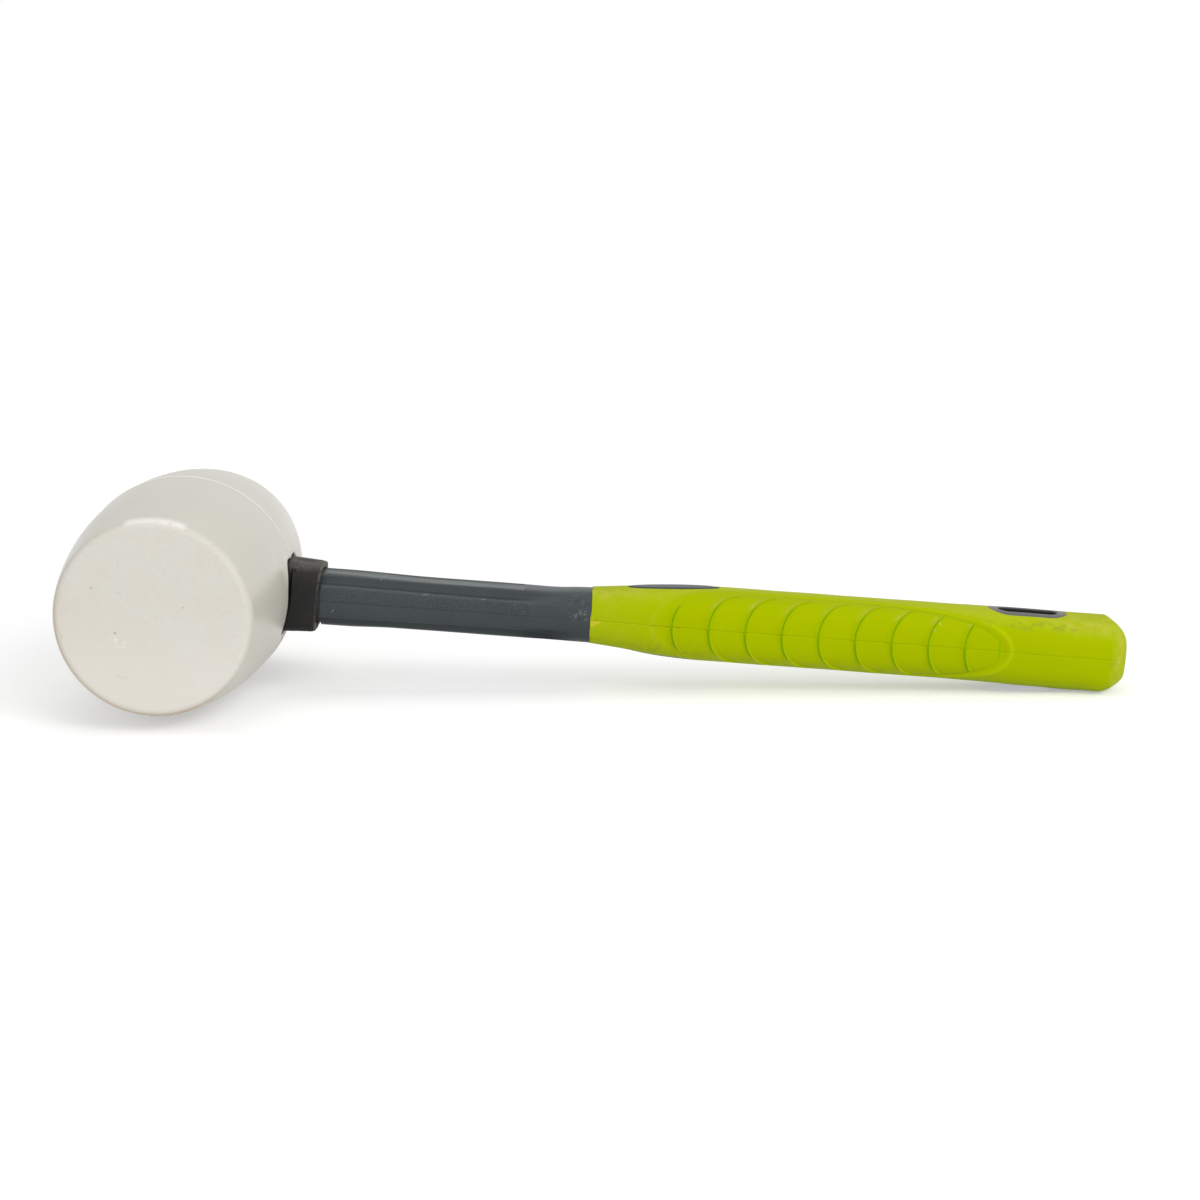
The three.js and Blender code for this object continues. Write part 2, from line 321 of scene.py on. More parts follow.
def solid_cells(grid, windows):
    """True for each cell of a grid that isn't inside one of its windows."""
    kept = np.ones((grid.shape[0] - 1, grid.shape[1]), dtype=bool)
    for (top, bottom), (left, right) in windows:
        kept[top:bottom, left:right] = False
    return kept


def match(loop, plan, target):
    """A loop turned round and rolled, to start at target and run the way the other side's loop does."""
    start = np.argmin(np.linalg.norm(plan[::-1] - target, axis=1))
    return np.roll(loop[::-1], -start), np.roll(plan[::-1], -start, axis=0)


def smooth(low, high, value):
    """0 below low, 1 above high and the curve 3t^2 - 2t^3 between them."""
    share = np.clip((value - low) / (high - low), 0.0, 1.0)
    return share * share * (3 - 2 * share)


def bell(value, middle, width):
    """1 at the middle, falling off to both sides as exp(-d^2), with the distance d counted in widths."""
    return np.exp(-(((value - middle) / width) ** 2))


print("shell tools ready")

# %% [markdown]
# ## From arrays to a Blender piece
#
# Blender takes whole arrays with foreach_set, which is far quicker than adding faces one at a time. The
# function below lays the points down, turns all faces round if the enclosed volume comes out negative,
# and counts edges that have no partner. Numbers that the finish needs at each point, such as dust, go
# along as named attributes.

# %% Piece maker
SHARP_ANGLE = np.radians(42)


def face_lists(shell):
    """All quads and all triangles of a shell as two arrays."""
    triangles = np.concatenate(shell.triangles) if shell.triangles else np.zeros((0, 3), dtype=int)
    return np.concatenate(shell.quads), triangles


def enclosed_volume(points, quads, triangles):
    """Sum over triangles of a . (b x c) / 6, with each quad cut in two."""
    corners = np.concatenate([quads[:, [0, 1, 2]], quads[:, [0, 2, 3]], triangles])
    a, b, c = (points[corners[:, side]] for side in range(3))
    return np.einsum("ij,ij->", a, np.cross(b, c)) / 6


def open_edges(quads, triangles):
    """How many edges run one way only once, with no face that runs back along them."""
    tails = np.concatenate([quads.ravel(), triangles.ravel()])
    heads = np.concatenate([np.roll(quads, -1, axis=1).ravel(), np.roll(triangles, -1, axis=1).ravel()])
    size = tails.max() + 1
    return len(np.setxor1d(tails * size + heads, heads * size + tails))


def make_piece(name, shell, node, material, paint):
    """Lay a shell down, hand it to Blender with its painted numbers, and tie the piece to the frame."""
    points = lay_down(shell.points())
    quads, triangles = face_lists(shell)
    if enclosed_volume(points, quads, triangles) < 0:
        quads, triangles = quads[:, ::-1], triangles[:, ::-1]
    mesh = bpy.data.meshes.new(name)
    mesh.vertices.add(len(points))
    mesh.vertices.foreach_set("co", (points * MM).ravel())
    mesh.loops.add(quads.size + triangles.size)
    mesh.loops.foreach_set("vertex_index", np.concatenate([quads.ravel(), triangles.ravel()]))
    starts = np.concatenate([np.arange(len(quads)) * 4, quads.size + np.arange(len(triangles)) * 3])
    mesh.polygons.add(len(starts))
    mesh.polygons.foreach_set("loop_start", starts)
    mesh.polygons.foreach_set("use_smooth", np.ones(len(starts), dtype=bool))
    mesh.update(calc_edges=True)
    mesh.set_sharp_from_angle(angle=SHARP_ANGLE)
    for key, values in paint.items():
        mesh.attributes.new(key, "FLOAT", "POINT").data.foreach_set("value", values.astype(np.float32))
    mesh.materials.append(material)
    piece = bpy.data.objects.new(name, mesh)
    bpy.context.collection.objects.link(piece)
    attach(piece, "root")
    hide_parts(node)
    count = 2 * len(quads) + len(triangles)
    litres = abs(enclosed_volume(points, quads, triangles)) * 1e-6
    unpaired = open_edges(quads, triangles)
    print(name, "-", count, "triangles,", unpaired, "open edges,", round(litres, 4), "litres")


# %% [markdown]
# ## Finishes: one place to start
#
# All five finishes begin in the same way: a Principled shader, Object coordinates for the grain, and the
# attributes that the piece carries. Sizes of grain are given in millimetres, because that is how a maker
# would measure them.

# %% Finish helper
class Finish(Nodes):
    """A material with a Principled shader; sizes are in millimetres."""

    def __init__(self, name, roughness, specular):
        self.material = bpy.data.materials.new(name)
        self.material.use_nodes = True
        super().__init__(self.material.node_tree)
        self.shader = self.tree.nodes["Principled BSDF"]
        self.shader.inputs["Roughness"].default_value = roughness
        self.shader.inputs["Specular IOR Level"].default_value = specular
        self.place = self.add("ShaderNodeTexCoord", {}).outputs["Object"]

    def painted(self, *keys):
        """Numbers that the piece carries at each point, one for each key."""
        return [self.add("ShaderNodeAttribute", {}, attribute_name=key).outputs["Fac"] for key in keys]

    def stretched(self, turn, scale):
        """Object coordinates, turned and scaled, for grain that runs one way."""
        inputs = {"Vector": self.place, "Rotation": turn, "Scale": scale}
        return self.add("ShaderNodeMapping", inputs).outputs[0]

    def noise(self, size, detail, place=None):
        """Cloudy noise of 0..1 whose patches are about `size` wide."""
        inputs = {"Vector": place or self.place, "Scale": 1 / (size * MM), "Detail": detail}
        return self.add("ShaderNodeTexNoise", inputs).outputs["Fac"]

    def patchy(self, mask, size, detail, low, high):
        """A mask broken up by noise: nothing is left where the noise is below low, all of it above high."""
        return self.math("MULTIPLY", mask, self.ease(self.noise(size, detail), low, high))

    def dots(self, pitch, radius, share):
        """Small round dots: 1 inside, in a share of the cells of a grid about `pitch` wide."""
        cells = self.add("ShaderNodeTexVoronoi", {"Vector": self.place, "Scale": 1 / (pitch * MM)}).outputs
        near = self.ease(cells["Distance"], radius / pitch, 0.4 * radius / pitch)
        chance = self.add("ShaderNodeSeparateColor", {0: cells["Color"]}).outputs[0]
        return self.math("MULTIPLY", near, self.ease(chance, share, share * 0.9))

    def stroke(self, first, last, width):
        """1 on a straight mark between two points of the handle's frame, where depth in y counts a tenth.

        The mark's nearest point is first + t (last - first), with t the place's shadow on the mark, held
        between 0 and 1. The distance from it, eased, gives a line with soft edges.
        """
        flat = np.array([1.0, 0.1, 1.0])
        ends = lay_down(np.array([first, last], dtype=float)) * flat * MM
        along = ends[1] - ends[0]
        offset = self.vector("SUBTRACT", self.vector("MULTIPLY", self.place, flat), ends[0])
        shadow = self.between(self.vector("DOT_PRODUCT", offset, along / (along @ along)), 0.0, 1.0)
        away = self.vector("DISTANCE", offset, self.vector("MULTIPLY", shadow, along))
        return self.ease(away, width * MM / 2, width * MM / 6)

    def strokes(self, *marks):
        """Several strokes in one mask."""
        mask = self.stroke(*marks[0])
        for mark in marks[1:]:
            mask = self.math("MAXIMUM", mask, self.stroke(*mark))
        return mask

    def cover(self, colour, *layers):
        """A colour with layers of (mask, strength, screen colour) laid over it, one after the other."""
        for mask, strength, screen in layers:
            colour = self.mix(self.math("MULTIPLY", mask, strength), colour, srgb(*screen))
        return colour

    def bump(self, *layers):
        """Layers of (height 0..1, depth in millimetres) added up as bump, one after the other."""
        normal = None
        for height, depth in layers:
            inputs = {"Height": height, "Distance": depth * MM, "Strength": 1.0}
            if normal is not None:
                inputs["Normal"] = normal
            normal = self.add("ShaderNodeBump", inputs).outputs[0]
        self.feed(self.shader.inputs["Normal"], normal)

    def colour(self, value):
        """Set or link the base colour."""
        self.feed(self.shader.inputs["Base Color"], value)

    def rough(self, value):
        """Set or link the roughness."""
        self.feed(self.shader.inputs["Roughness"], value)


print("finish helper ready")

# %% [markdown]
# ## Sections
#
# Sleeve, shaft and grip all have rounded-square sections. A superellipse describes them with two half
# sizes and one number for squareness. Measured from its middle in the direction of an angle, its edge has
# a simple formula, so a section is a list of angles, and every section with the same angles can be sewn
# to the next.

# %% Sections
FIT = 0.3
TENON_DEPTH = 15.5
BARB_COUNT, BARB_HALF = 3, 2.5
BARB_RISE, BARB_SINK, BARB_STEP = 0.7, 0.2, 0.02


def radial(angle, half_y, half_z, squareness):
    """Distance from a superellipse's middle to its edge: (|cos/a|^n + |sin/b|^n) to the power -1/n."""
    across = np.abs(np.cos(angle) / half_y) ** squareness
    upright = np.abs(np.sin(angle) / half_z) ** squareness
    return (across + upright) ** (-1 / squareness)


def section(station, angle, half_y, half_z, squareness):
    """Points of a superellipse across the handle at a station."""
    reach = radial(angle, half_y, half_z, squareness)
    return np.stack(np.broadcast_arrays(station, reach * np.cos(angle), reach * np.sin(angle)), axis=-1)


def full_turn(quarter):
    """Angles of a whole turn from the angles 0 to 90 degrees of one quarter, mirrored."""
    back = np.pi - quarter[::-1]
    return np.concatenate([quarter[:-1], back[:-1], quarter[:-1] + np.pi, back[:-1] + np.pi])


def quarter_girth(half_y, half_z, squareness):
    """Angles from 0 to 90 degrees, and the distance along the section's edge up to each of them."""
    angle = np.linspace(0.0, np.pi / 2, 4001)
    edge = section(0.0, angle, half_y, half_z, squareness)
    steps = np.linalg.norm(np.diff(edge, axis=0), axis=1)
    return angle, np.concatenate([[0.0], np.cumsum(steps)])


def paced_quarter(half_y, half_z, squareness, paces):
    """Quarter-turn angles whose distances along the section's edge grow in proportion to paces."""
    angle, girth = quarter_girth(half_y, half_z, squareness)
    wanted = np.concatenate([[0.0], np.cumsum(paces)])
    return np.interp(wanted / wanted[-1] * girth[-1], girth, angle)


def barbs(grow):
    """Stations and rises of the barbs: each climbs towards the handle and drops off square.

    The slope starts a little inside the tenon, so its sunk share of the length doesn't show.
    """
    pitch = (BELLY + TENON_DEPTH) / BARB_COUNT
    middle = pitch * (np.arange(BARB_COUNT) + 0.5) - TENON_DEPTH
    reach = BARB_HALF + grow
    low = middle - reach + 2 * reach * BARB_SINK / (BARB_SINK + BARB_RISE)
    high = middle + reach
    stations = np.stack([low, high, high + BARB_STEP], axis=1).ravel()
    return stations, np.tile([0.0, BARB_RISE, 0.0], BARB_COUNT)


print("barbs end at", np.round(barbs(0.0)[0][1::3], 1))

# %% [markdown]
# ## Head: the barrel
#
# The head is a moulded rubber barrel: two flat faces, a soft rim, and a side that swells to a belly, with
# a fine rib where the mould's halves met. It could be a lathed curve with a Screw modifier. A formula for
# the radius is better here, because the socket's mouth has to lie exactly on the same surface.

# %% Head profile
FACE_Y = 52.5
RIM_RADIUS = 2.6
BARREL_RADIUS = 34.15
BARREL_DROP, DROP_REACH = 4.9, 50.3
RIB_HEIGHT, RIB_WIDTH = 0.26, 0.3
HEAD_COLUMNS = 216


def barrel_radius(y):
    """A parabola from the belly to the rims, plus a narrow bell curve for the parting rib."""
    return BARREL_RADIUS - BARREL_DROP * (y / DROP_REACH) ** 2 + RIB_HEIGHT * bell(y, 0.0, RIB_WIDTH)


def head_profile():
    """Radius and y from one face's middle to the other's: rings on the face, a tangent arc, the side."""
    meet = FACE_Y - RIM_RADIUS
    for _ in range(4):
        tilt = np.arctan(2 * BARREL_DROP * meet / DROP_REACH**2)
        meet = FACE_Y - RIM_RADIUS * (1 - np.sin(tilt))
    middle_y = meet - RIM_RADIUS * np.sin(tilt)
    middle_r = barrel_radius(meet) - RIM_RADIUS * np.cos(tilt)
    turn = np.linspace(np.pi / 2, tilt, 12)
    face_r = np.concatenate([np.linspace(1.2, middle_r - 0.6, 20), [middle_r - 0.2]])
    side_y = np.concatenate([np.linspace(meet - 0.8, 1.4, 40), [1.0, 0.72, 0.52, 0.36, 0.22, 0.1]])
    radius = np.concatenate([face_r, middle_r + RIM_RADIUS * np.cos(turn), barrel_radius(side_y)])
    y = np.concatenate([np.full(len(face_r), FACE_Y), middle_y + RIM_RADIUS * np.sin(turn), side_y])
    whole_r = np.concatenate([radius, [barrel_radius(0.0)], radius[::-1]])
    return whole_r, np.concatenate([-y, [0.0], y[::-1]])


head_r, head_y = head_profile()
print("head profile:", len(head_r), "rings, widest", round(float(2 * head_r.max()), 2), "mm")

# %% [markdown]
# ## Head: the socket's mouth
#
# The sleeve stands in a blind socket, and the rubber has a soft, slightly gaping lip around it. A boolean
# cut would leave long thin faces on the barrel. Instead a window is cut from the grid, and rings lead
# from its rim to the mouth. The rings are spread in the flat, in y and z, and then lifted back onto the
# barrel.

# %% Head shell
MOUTH_HALF_Y, MOUTH_HALF_Z, MOUTH_SQUARENESS = 12.4, 10.7, 6.0
LIP_RADIUS, LIP_SWELL = 0.8, 0.9
WINDOW_HALF_Y, WINDOW_HALF_TURN = 18.0, np.radians(29)
SOCKET_TOP, SOCKET_END = 30.6, -18.5


def onto_barrel(plan):
    """The barrel's point above (y, z), on the handle's side: s is the square root of r(y)^2 - z^2."""
    y, z = plan[..., 0], plan[..., 1]
    return np.stack([np.sqrt(barrel_radius(y) ** 2 - z**2), y, z], axis=-1)


def pushed_corner(angle):
    """1 at the mouth's upper near corner, where the sleeve has pushed the rubber up: a bell curve."""
    return bell(angle, 2.45, 0.32)


def mouth_outline(angle, grow):
    """The sleeve's outline, a little larger, gaping at its four corners, most at the pushed one."""
    gape = 0.14 + (0.55 - 0.32 * np.sin(angle)) * np.abs(np.sin(2 * angle)) ** 1.4
    gape = gape + 0.35 * pushed_corner(angle)
    reach = radial(angle, MOUTH_HALF_Y + gape, MOUTH_HALF_Z + gape, MOUTH_SQUARENESS) + grow
    return np.stack([reach * np.cos(angle), reach * np.sin(angle)], axis=-1)


def make_head_shell():
    """The barrel's grid with a window towards the handle, the lip of the mouth, and the socket."""
    shell = Shell()
    turn = np.linspace(-np.pi, np.pi, HEAD_COLUMNS, endpoint=False)
    skin = np.stack(np.broadcast_arrays(
        head_r[:, None] * np.cos(turn), head_y[:, None], head_r[:, None] * np.sin(turn)), axis=-1)
    grid = shell.add(skin)
    inside = np.flatnonzero(np.abs(head_y) < WINDOW_HALF_Y)
    facing = np.flatnonzero(np.abs(turn) < WINDOW_HALF_TURN)
    opening = (inside[0], inside[-1]), (facing[0], facing[-1])
    shell.net(grid, solid_cells(grid, [opening]))
    shell.cap(grid[0][::-1], (0.0, -FACE_Y, 0.0))
    shell.cap(grid[-1], (0.0, FACE_Y, 0.0))

    rim = window(grid, *opening)
    plan = shell.points()[rim][:, 1:]
    angle = np.arctan2(plan[:, 1], plan[:, 0])
    lip = mouth_outline(angle, LIP_RADIUS)
    share = np.linspace(0.0, 1.0, 11)[1:, None, None]
    slope = onto_barrel(plan * (1 - share) + lip * share)
    slope[..., 0] += LIP_SWELL * pushed_corner(angle) * share[..., 0] ** 2
    rings = list(slope)
    for bend in np.linspace(0.0, np.pi / 2, 6)[1:]:
        ring = onto_barrel(mouth_outline(angle, LIP_RADIUS * (1 - np.sin(bend))))
        ring[:, 0] += LIP_SWELL * pushed_corner(angle) - LIP_RADIUS * (1 - np.cos(bend))
        rings.append(ring)
    stations, rises = barbs(FIT)
    stations = np.concatenate([[SOCKET_END], stations, [SOCKET_TOP]])[::-1]
    rises = np.concatenate([[0.0], rises, [0.0]])[::-1]
    for station, rise in zip(stations, rises):
        grow = FIT + rise
        rings.append(section(station, angle, MOUTH_HALF_Y + grow, MOUTH_HALF_Z + grow, MOUTH_SQUARENESS))
    shell.cap(shell.path(rim, rings), (SOCKET_END, 0.0, 0.0))
    return shell


head_shell = make_head_shell()
print("head shell:", head_shell.total, "points")

# %% [markdown]
# ## Head: white rubber
#
# The faces are dull and chalky with tiny pits, while the moulded side keeps a soft shine. Below the
# middle the faces are painted paler, as painted bounce light from the floor. The rim has a painted
# highlight on top, is chipped to a peach tone on the handle's side, and has a tan line along its lower
# left edge. These places are known from the shape, so the mesh carries them as attributes, and noise
# breaks them up. A few marks from use are strokes between two points.

# %% White rubber
head_s, head_depth, head_z = head_shell.points().T
head_radius = np.hypot(head_s, head_z)
from_face = FACE_Y - np.abs(head_depth)
on_face = smooth(0.9, 0.1, from_face)
on_rim = smooth(4.0, 1.7, from_face) * smooth(25.4, 27.0, head_radius)
on_rib = bell(head_depth, 0.0, 0.38)
towards_handle = smooth(0.1, 0.7, (0.9 * head_s + 0.4 * head_z) / (head_radius + 1.0))
towards_ground = smooth(0.0, 0.7, (-0.5 * head_s - 0.85 * head_z) / (head_radius + 1.0))
# A tan line along the rim's lower left edge.
on_turn = bell(from_face, 1.2, 0.75) * towards_ground
on_chips = bell(from_face, 1.0, 0.8) * towards_handle
# Painted bounce light: the faces are painted paler below the middle, as if lit from the floor.
floor_bounce_light = smooth(8.0, -24.0, head_z)
on_crown = smooth(-10.0, -8.0, head_s) * smooth(9.5, 7.5, head_s) * (head_z > 0)
# Painted highlight on top of the rim, where a lamp's reflection lies.
painted_rim_highlight = on_rim * (1 - on_face) * on_crown


def white_rubber():
    """Chalk on the faces, a smoother side, and wear and marks laid over both, one after the other."""
    finish = Finish("white_rubber", 0.5, 0.42)
    face, below, chipped, rib, turn, rim_highlight = finish.painted(
        "face", "below", "chipped", "rib", "turn", "rim_highlight")
    cloud = finish.noise(14.0, 3.0)
    grain = finish.noise(0.7, 3.0)
    blotch = finish.ease(finish.noise(9.0, 5.0), 0.4, 0.75)
    fleck = finish.ease(finish.noise(0.8, 4.0), 0.36, 0.66)
    pits = finish.dots(3.4, 0.22, 0.55)
    dust = finish.dots(2.0, 0.15, 0.55)
    chips = finish.patchy(chipped, 2.6, 6.0, 0.58, 0.7)
    scuff = finish.stroke((-11.3, -FACE_Y, -6.9), (-8.6, -FACE_Y, -7.8), 4.0)
    scuff = finish.patchy(scuff, 0.9, 4.0, 0.45, 0.6)
    streaks = finish.strokes(((-0.4, -47.0, 32.1), (4.8, -47.0, 31.3), 0.35),
                             ((1.5, -44.5, 32.4), (4.2, -44.5, 32.0), 0.25))
    spots = finish.strokes(((-10.7, -FACE_Y, -4.7), (-10.5, -FACE_Y, -4.8), 0.8),
                           ((8.6, -FACE_Y, 4.2), (8.8, -FACE_Y, 4.2), 0.5),
                           ((-17.9, -FACE_Y, 8.0), (-17.7, -FACE_Y, 8.0), 0.6))
    smear = finish.stroke((-9.4, -FACE_Y, -17.7), (-6.9, -FACE_Y, -18.0), 1.2)
    side = finish.mix(cloud, srgb(206, 203, 191), srgb(212, 209, 197))
    chalk = finish.mix(blotch, srgb(217, 214, 205), srgb(217, 212, 201))
    # painted bounce light on the lower face
    chalk = finish.cover(chalk, (fleck, 0.2, (230, 227, 219)), (below, 0.6, (233, 230, 222)))
    finish.colour(finish.cover(
        finish.mix(face, side, chalk),
        # painted highlight on the rim's top
        (rim_highlight, 0.8, (240, 237, 230)),
        (turn, 0.6, (205, 172, 134)),
        (chips, 0.55, (214, 190, 166)),
        (rib, 0.85, (243, 242, 237)),
        (scuff, 0.7, (232, 233, 230)),
        (streaks, 0.4, (238, 237, 232)),
        (spots, 0.6, (140, 112, 88)),
        (smear, 0.25, (205, 196, 165)),
        (dust, 0.4, (150, 142, 130)),
        (pits, 0.4, (158, 146, 132))))
    finish.rough(finish.between(finish.math("MAXIMUM", face, chips), 0.34, 0.8))
    finish.bump((grain, 0.03), (finish.math("SUBTRACT", 1.0, pits), 0.12))
    return finish.material


make_piece("rubber_head", head_shell, "head", white_rubber(),
           {"face": on_face, "below": floor_bounce_light, "chipped": on_chips, "rib": on_rib, "turn": on_turn,
            "rim_highlight": painted_rim_highlight})

# %% [markdown]
# ## Sleeve
#
# A black rubber cup lines the socket and stands out of it as a collar. A scrap of flash is left at its
# upper corner next to the head, where the collar also draws in and leaves a crack. It is one walk of
# sections: out along the bore, over the rounded edge, and back along the outside, with a cap at each end
# of the walk.

# %% Sleeve shell
SLEEVE_MOUTH = 43.0
SLEEVE_BACK = -18.2
COLLAR_FOOT = 31.0
BORE_END = -15.8
BORE_ROUND, EDGE_ROUND = 0.25, 0.22
END_SLANT, COLLAR_TAPER = 0.04, 0.06
TRIMMED_OFF, CRACK_DEPTH = 0.15, 1.2
SHAFT_HALF_Y, SHAFT_HALF_Z, SHAFT_SQUARENESS = 9.7, 8.0, 2.8


def wobble(angle, height):
    """A small uneven wave once around a hand-trimmed edge: three sines of different lengths."""
    return height * (np.sin(3 * angle + 1.0) + 0.6 * np.sin(7 * angle + 2.2) + 0.4 * np.sin(13 * angle))


def torn_flash(station, angle):
    """Two thin spikes of rubber at the upper corner next to the head, as sharp bell curves."""
    tall = 0.9 * bell(station, 35.5, 0.45) * bell(angle, 2.38, 0.045)
    return tall + 0.6 * bell(station, 36.9, 0.4) * bell(angle, 2.29, 0.05)


def drawn_end(station):
    """How far the collar draws in towards its free end."""
    return -0.25 * smooth(40.5, SLEEVE_MOUTH, station)


def gaping(angle):
    """1 at the collar's upper near side, where it stands off the head, falling off as a bell curve."""
    return bell(angle, 2.75, 0.4)


def undercut(station, angle):
    """How far the collar draws in next to the head, which leaves a dark crack at its upper near side."""
    return -CRACK_DEPTH * smooth(34.5, 34.0, station) * gaping(angle)


def collar_squareness(angle):
    """The collar's upper corners are rounder than its lower ones."""
    return 5.1 - 1.4 * np.sin(angle)


def free_end(z):
    """Station of the collar's trimmed end, which is cut a little aslant: farther out above than below."""
    return SLEEVE_MOUTH - TRIMMED_OFF - END_SLANT * (MOUTH_HALF_Z - z)


def make_sleeve_shell():
    """Rings along the bore, over the trimmed edge and back along the outside, with a cap at each end."""
    shell = Shell()
    angle = full_turn(paced_quarter(MOUTH_HALF_Y, MOUTH_HALF_Z, MOUTH_SQUARENESS, np.ones(42)))
    corner = radial(angle, MOUTH_HALF_Y, MOUTH_HALF_Z, MOUTH_SQUARENESS)
    edge = free_end(corner * np.sin(angle)) + wobble(angle, 0.07)

    def bore(station, grow):
        """A ring inside the cup, a fit and some growth wider than the shaft."""
        wider = FIT + grow
        return section(station, angle, SHAFT_HALF_Y + wider, SHAFT_HALF_Z + wider, SHAFT_SQUARENESS)

    def outside(station, grow, squareness):
        """A ring on the outside, which tapers in height from the collar's foot on."""
        half_z = MOUTH_HALF_Z + grow - COLLAR_TAPER * np.maximum(station - COLLAR_FOOT, 0.0)
        return section(station, angle, MOUTH_HALF_Y + grow, half_z, squareness)

    rounder = collar_squareness(angle)
    rings = [bore(BORE_END, 0.0)]
    rings += [bore(station, rise) for station, rise in zip(*barbs(FIT))]
    for bend in np.linspace(0.0, np.pi / 2, 4):
        rings.append(bore(edge - BORE_ROUND * (1 - np.sin(bend)), BORE_ROUND * (1 - np.cos(bend))))
    for bend in np.linspace(np.pi / 2, 0.0, 5):
        station = edge - EDGE_ROUND * (1 - np.sin(bend))
        rings.append(outside(station, EDGE_ROUND * (np.cos(bend) - 1) + drawn_end(station), rounder))
    for share in np.linspace(0.03, 1.0, 42):
        station = (edge - EDGE_ROUND) * (1 - share) + COLLAR_FOOT * share
        uneven = torn_flash(station, angle) + wobble(angle + station / 6, 0.03) + undercut(station, angle)
        rings.append(outside(station, drawn_end(station) + uneven, rounder))
    stations, rises = (values[::-1] for values in barbs(0.0))
    rings += [outside(station, rise, MOUTH_SQUARENESS) for station, rise in zip(stations, rises)]
    rings.append(outside(SLEEVE_BACK, 0.0, MOUTH_SQUARENESS))
    grid = shell.add(np.stack(rings))
    shell.net(grid)
    shell.cap(grid[0][::-1], (BORE_END, 0.0, 0.0))
    shell.cap(grid[-1], (SLEEVE_BACK, 0.0, 0.0))
    return shell


sleeve_shell = make_sleeve_shell()
print("sleeve shell:", sleeve_shell.total, "points")

# %% [markdown]
# ## Sleeve: black rubber
#
# Black rubber is never plain black: handling leaves brownish smudges. The trimmed edge is worn grey and
# also carries a painted highlight that grows towards the top, the top face is painted greyer as painted
# light from above, and the cut end face is painted lighter as painted light. Next to the head the crack
# is painted darkest, as painted shade. The mesh carries these places, worked out from the free edge and
# from the head's own surface, and noise makes the smudges.

# %% Black rubber
sleeve_s, sleeve_y, sleeve_z = sleeve_shell.points().T
sleeve_angle = np.arctan2(sleeve_z, sleeve_y)
sleeve_reach = radial(sleeve_angle, MOUTH_HALF_Y, MOUTH_HALF_Z, collar_squareness(sleeve_angle))
outermost = smooth(0.88, 0.92, np.hypot(sleeve_y, sleeve_z) / sleeve_reach)
from_end = free_end(sleeve_z) - sleeve_s
# Painted light: the collar's top face is painted greyer, as lit from above.
painted_top_light = smooth(8.7, 9.9, sleeve_z) * outermost
# The trimmed edge is worn grey, and a painted highlight on it grows towards the top.
worn_edge_and_highlight = smooth(0.5, 0.25, from_end) * outermost * (0.35 + 0.65 * smooth(2.0, 8.0, sleeve_z))
# Painted light on the cut end face.
painted_end_light = smooth(0.3, 0.1, from_end) * (1 - outermost)
head_skin = onto_barrel(np.column_stack([sleeve_y, sleeve_z]))[:, 0]
stand_off = gaping(sleeve_angle)
# Painted shade: the crack next to the head is painted darkest.
crack_shade = smooth(0.6 + 0.8 * stand_off, 0.2 + 0.8 * stand_off, sleeve_s - head_skin)


def black_rubber():
    """Smudged black with a worn edge; painted light on top, end and edge, and painted shade in the crack.
    """
    finish = Finish("black_rubber", 0.62, 0.2)
    edge, top, end, crack = finish.painted("edge", "top", "end", "crack")
    smudge = finish.ease(finish.noise(5.0, 4.0), 0.45, 0.72)
    edge_wear_and_highlight = finish.patchy(edge, 1.1, 3.0, 0.3, 0.55)
    specks = finish.dots(2.6, 0.12, 0.2)
    finish.colour(finish.cover(
        finish.mix(smudge, srgb(29, 29, 29), srgb(44, 40, 37)),
        # painted light on the top face
        (top, 0.5, (80, 74, 69)),
        # painted light on the cut end face
        (end, 0.6, (74, 65, 58)),
        # worn edge, partly a painted highlight
        (edge_wear_and_highlight, 0.7, (112, 102, 94)),
        (specks, 0.8, (88, 84, 76)),
        # painted shade in the crack
        (crack, 0.85, (12, 9, 8))))
    finish.rough(finish.between(smudge, 0.55, 0.78))
    finish.bump((finish.noise(0.5, 3.0), 0.03), (finish.noise(3.0, 2.0), 0.05))
    return finish.material


make_piece("socket_sleeve", sleeve_shell, "head_sleeve", black_rubber(),
           {"edge": worn_edge_and_highlight, "top": painted_top_light, "end": painted_end_light, "crack": crack_shade})

# %% [markdown]
# ## Grip form
#
# The grip is a soft rounded square that swells from its front to the palm and flares to the butt, where a
# blunt bevel rounds it off. The jacket's pads reach up to the same surface through windows, so the form
# comes before both pieces. From above, a plan point (s, y) is lifted onto it by the superellipse. The
# lower cheek hangs a little fuller than the upper one, and its bevel starts earlier and is smaller.

# %% Grip form
GRIP_FRONT = 126.8
GRIP_END = 293.48
GRIP_WALL = 2.5
GRIP_SQUARENESS = 2.6
FRONT_HALF_Y, FRONT_HALF_Z = 9.5, 8.6
PALM_HALF = 11.4
FLARE_Y, FLARE_Z = 1.5, 0.35
SKIN_ROOM = 0.03
SWELL_LENGTH = 44.0
FLARE_START = 231.5
UPPER_BEVEL = (BEVEL_START, 5.2, 1.25)
LOWER_BEVEL = (BEVEL_START - 1.5, 4.2, 1.2)
BUTT_SQUARER = 1.2


def bevel(s, start, drop, squareness):
    """How far the butt has drawn in at s: a quarter of a superellipse from the bevel's edge to the end."""
    past = np.clip((s - start) / (GRIP_END - start), 0.0, 1.0)
    return drop * (1 - (1 - past**squareness) ** (1 / squareness))


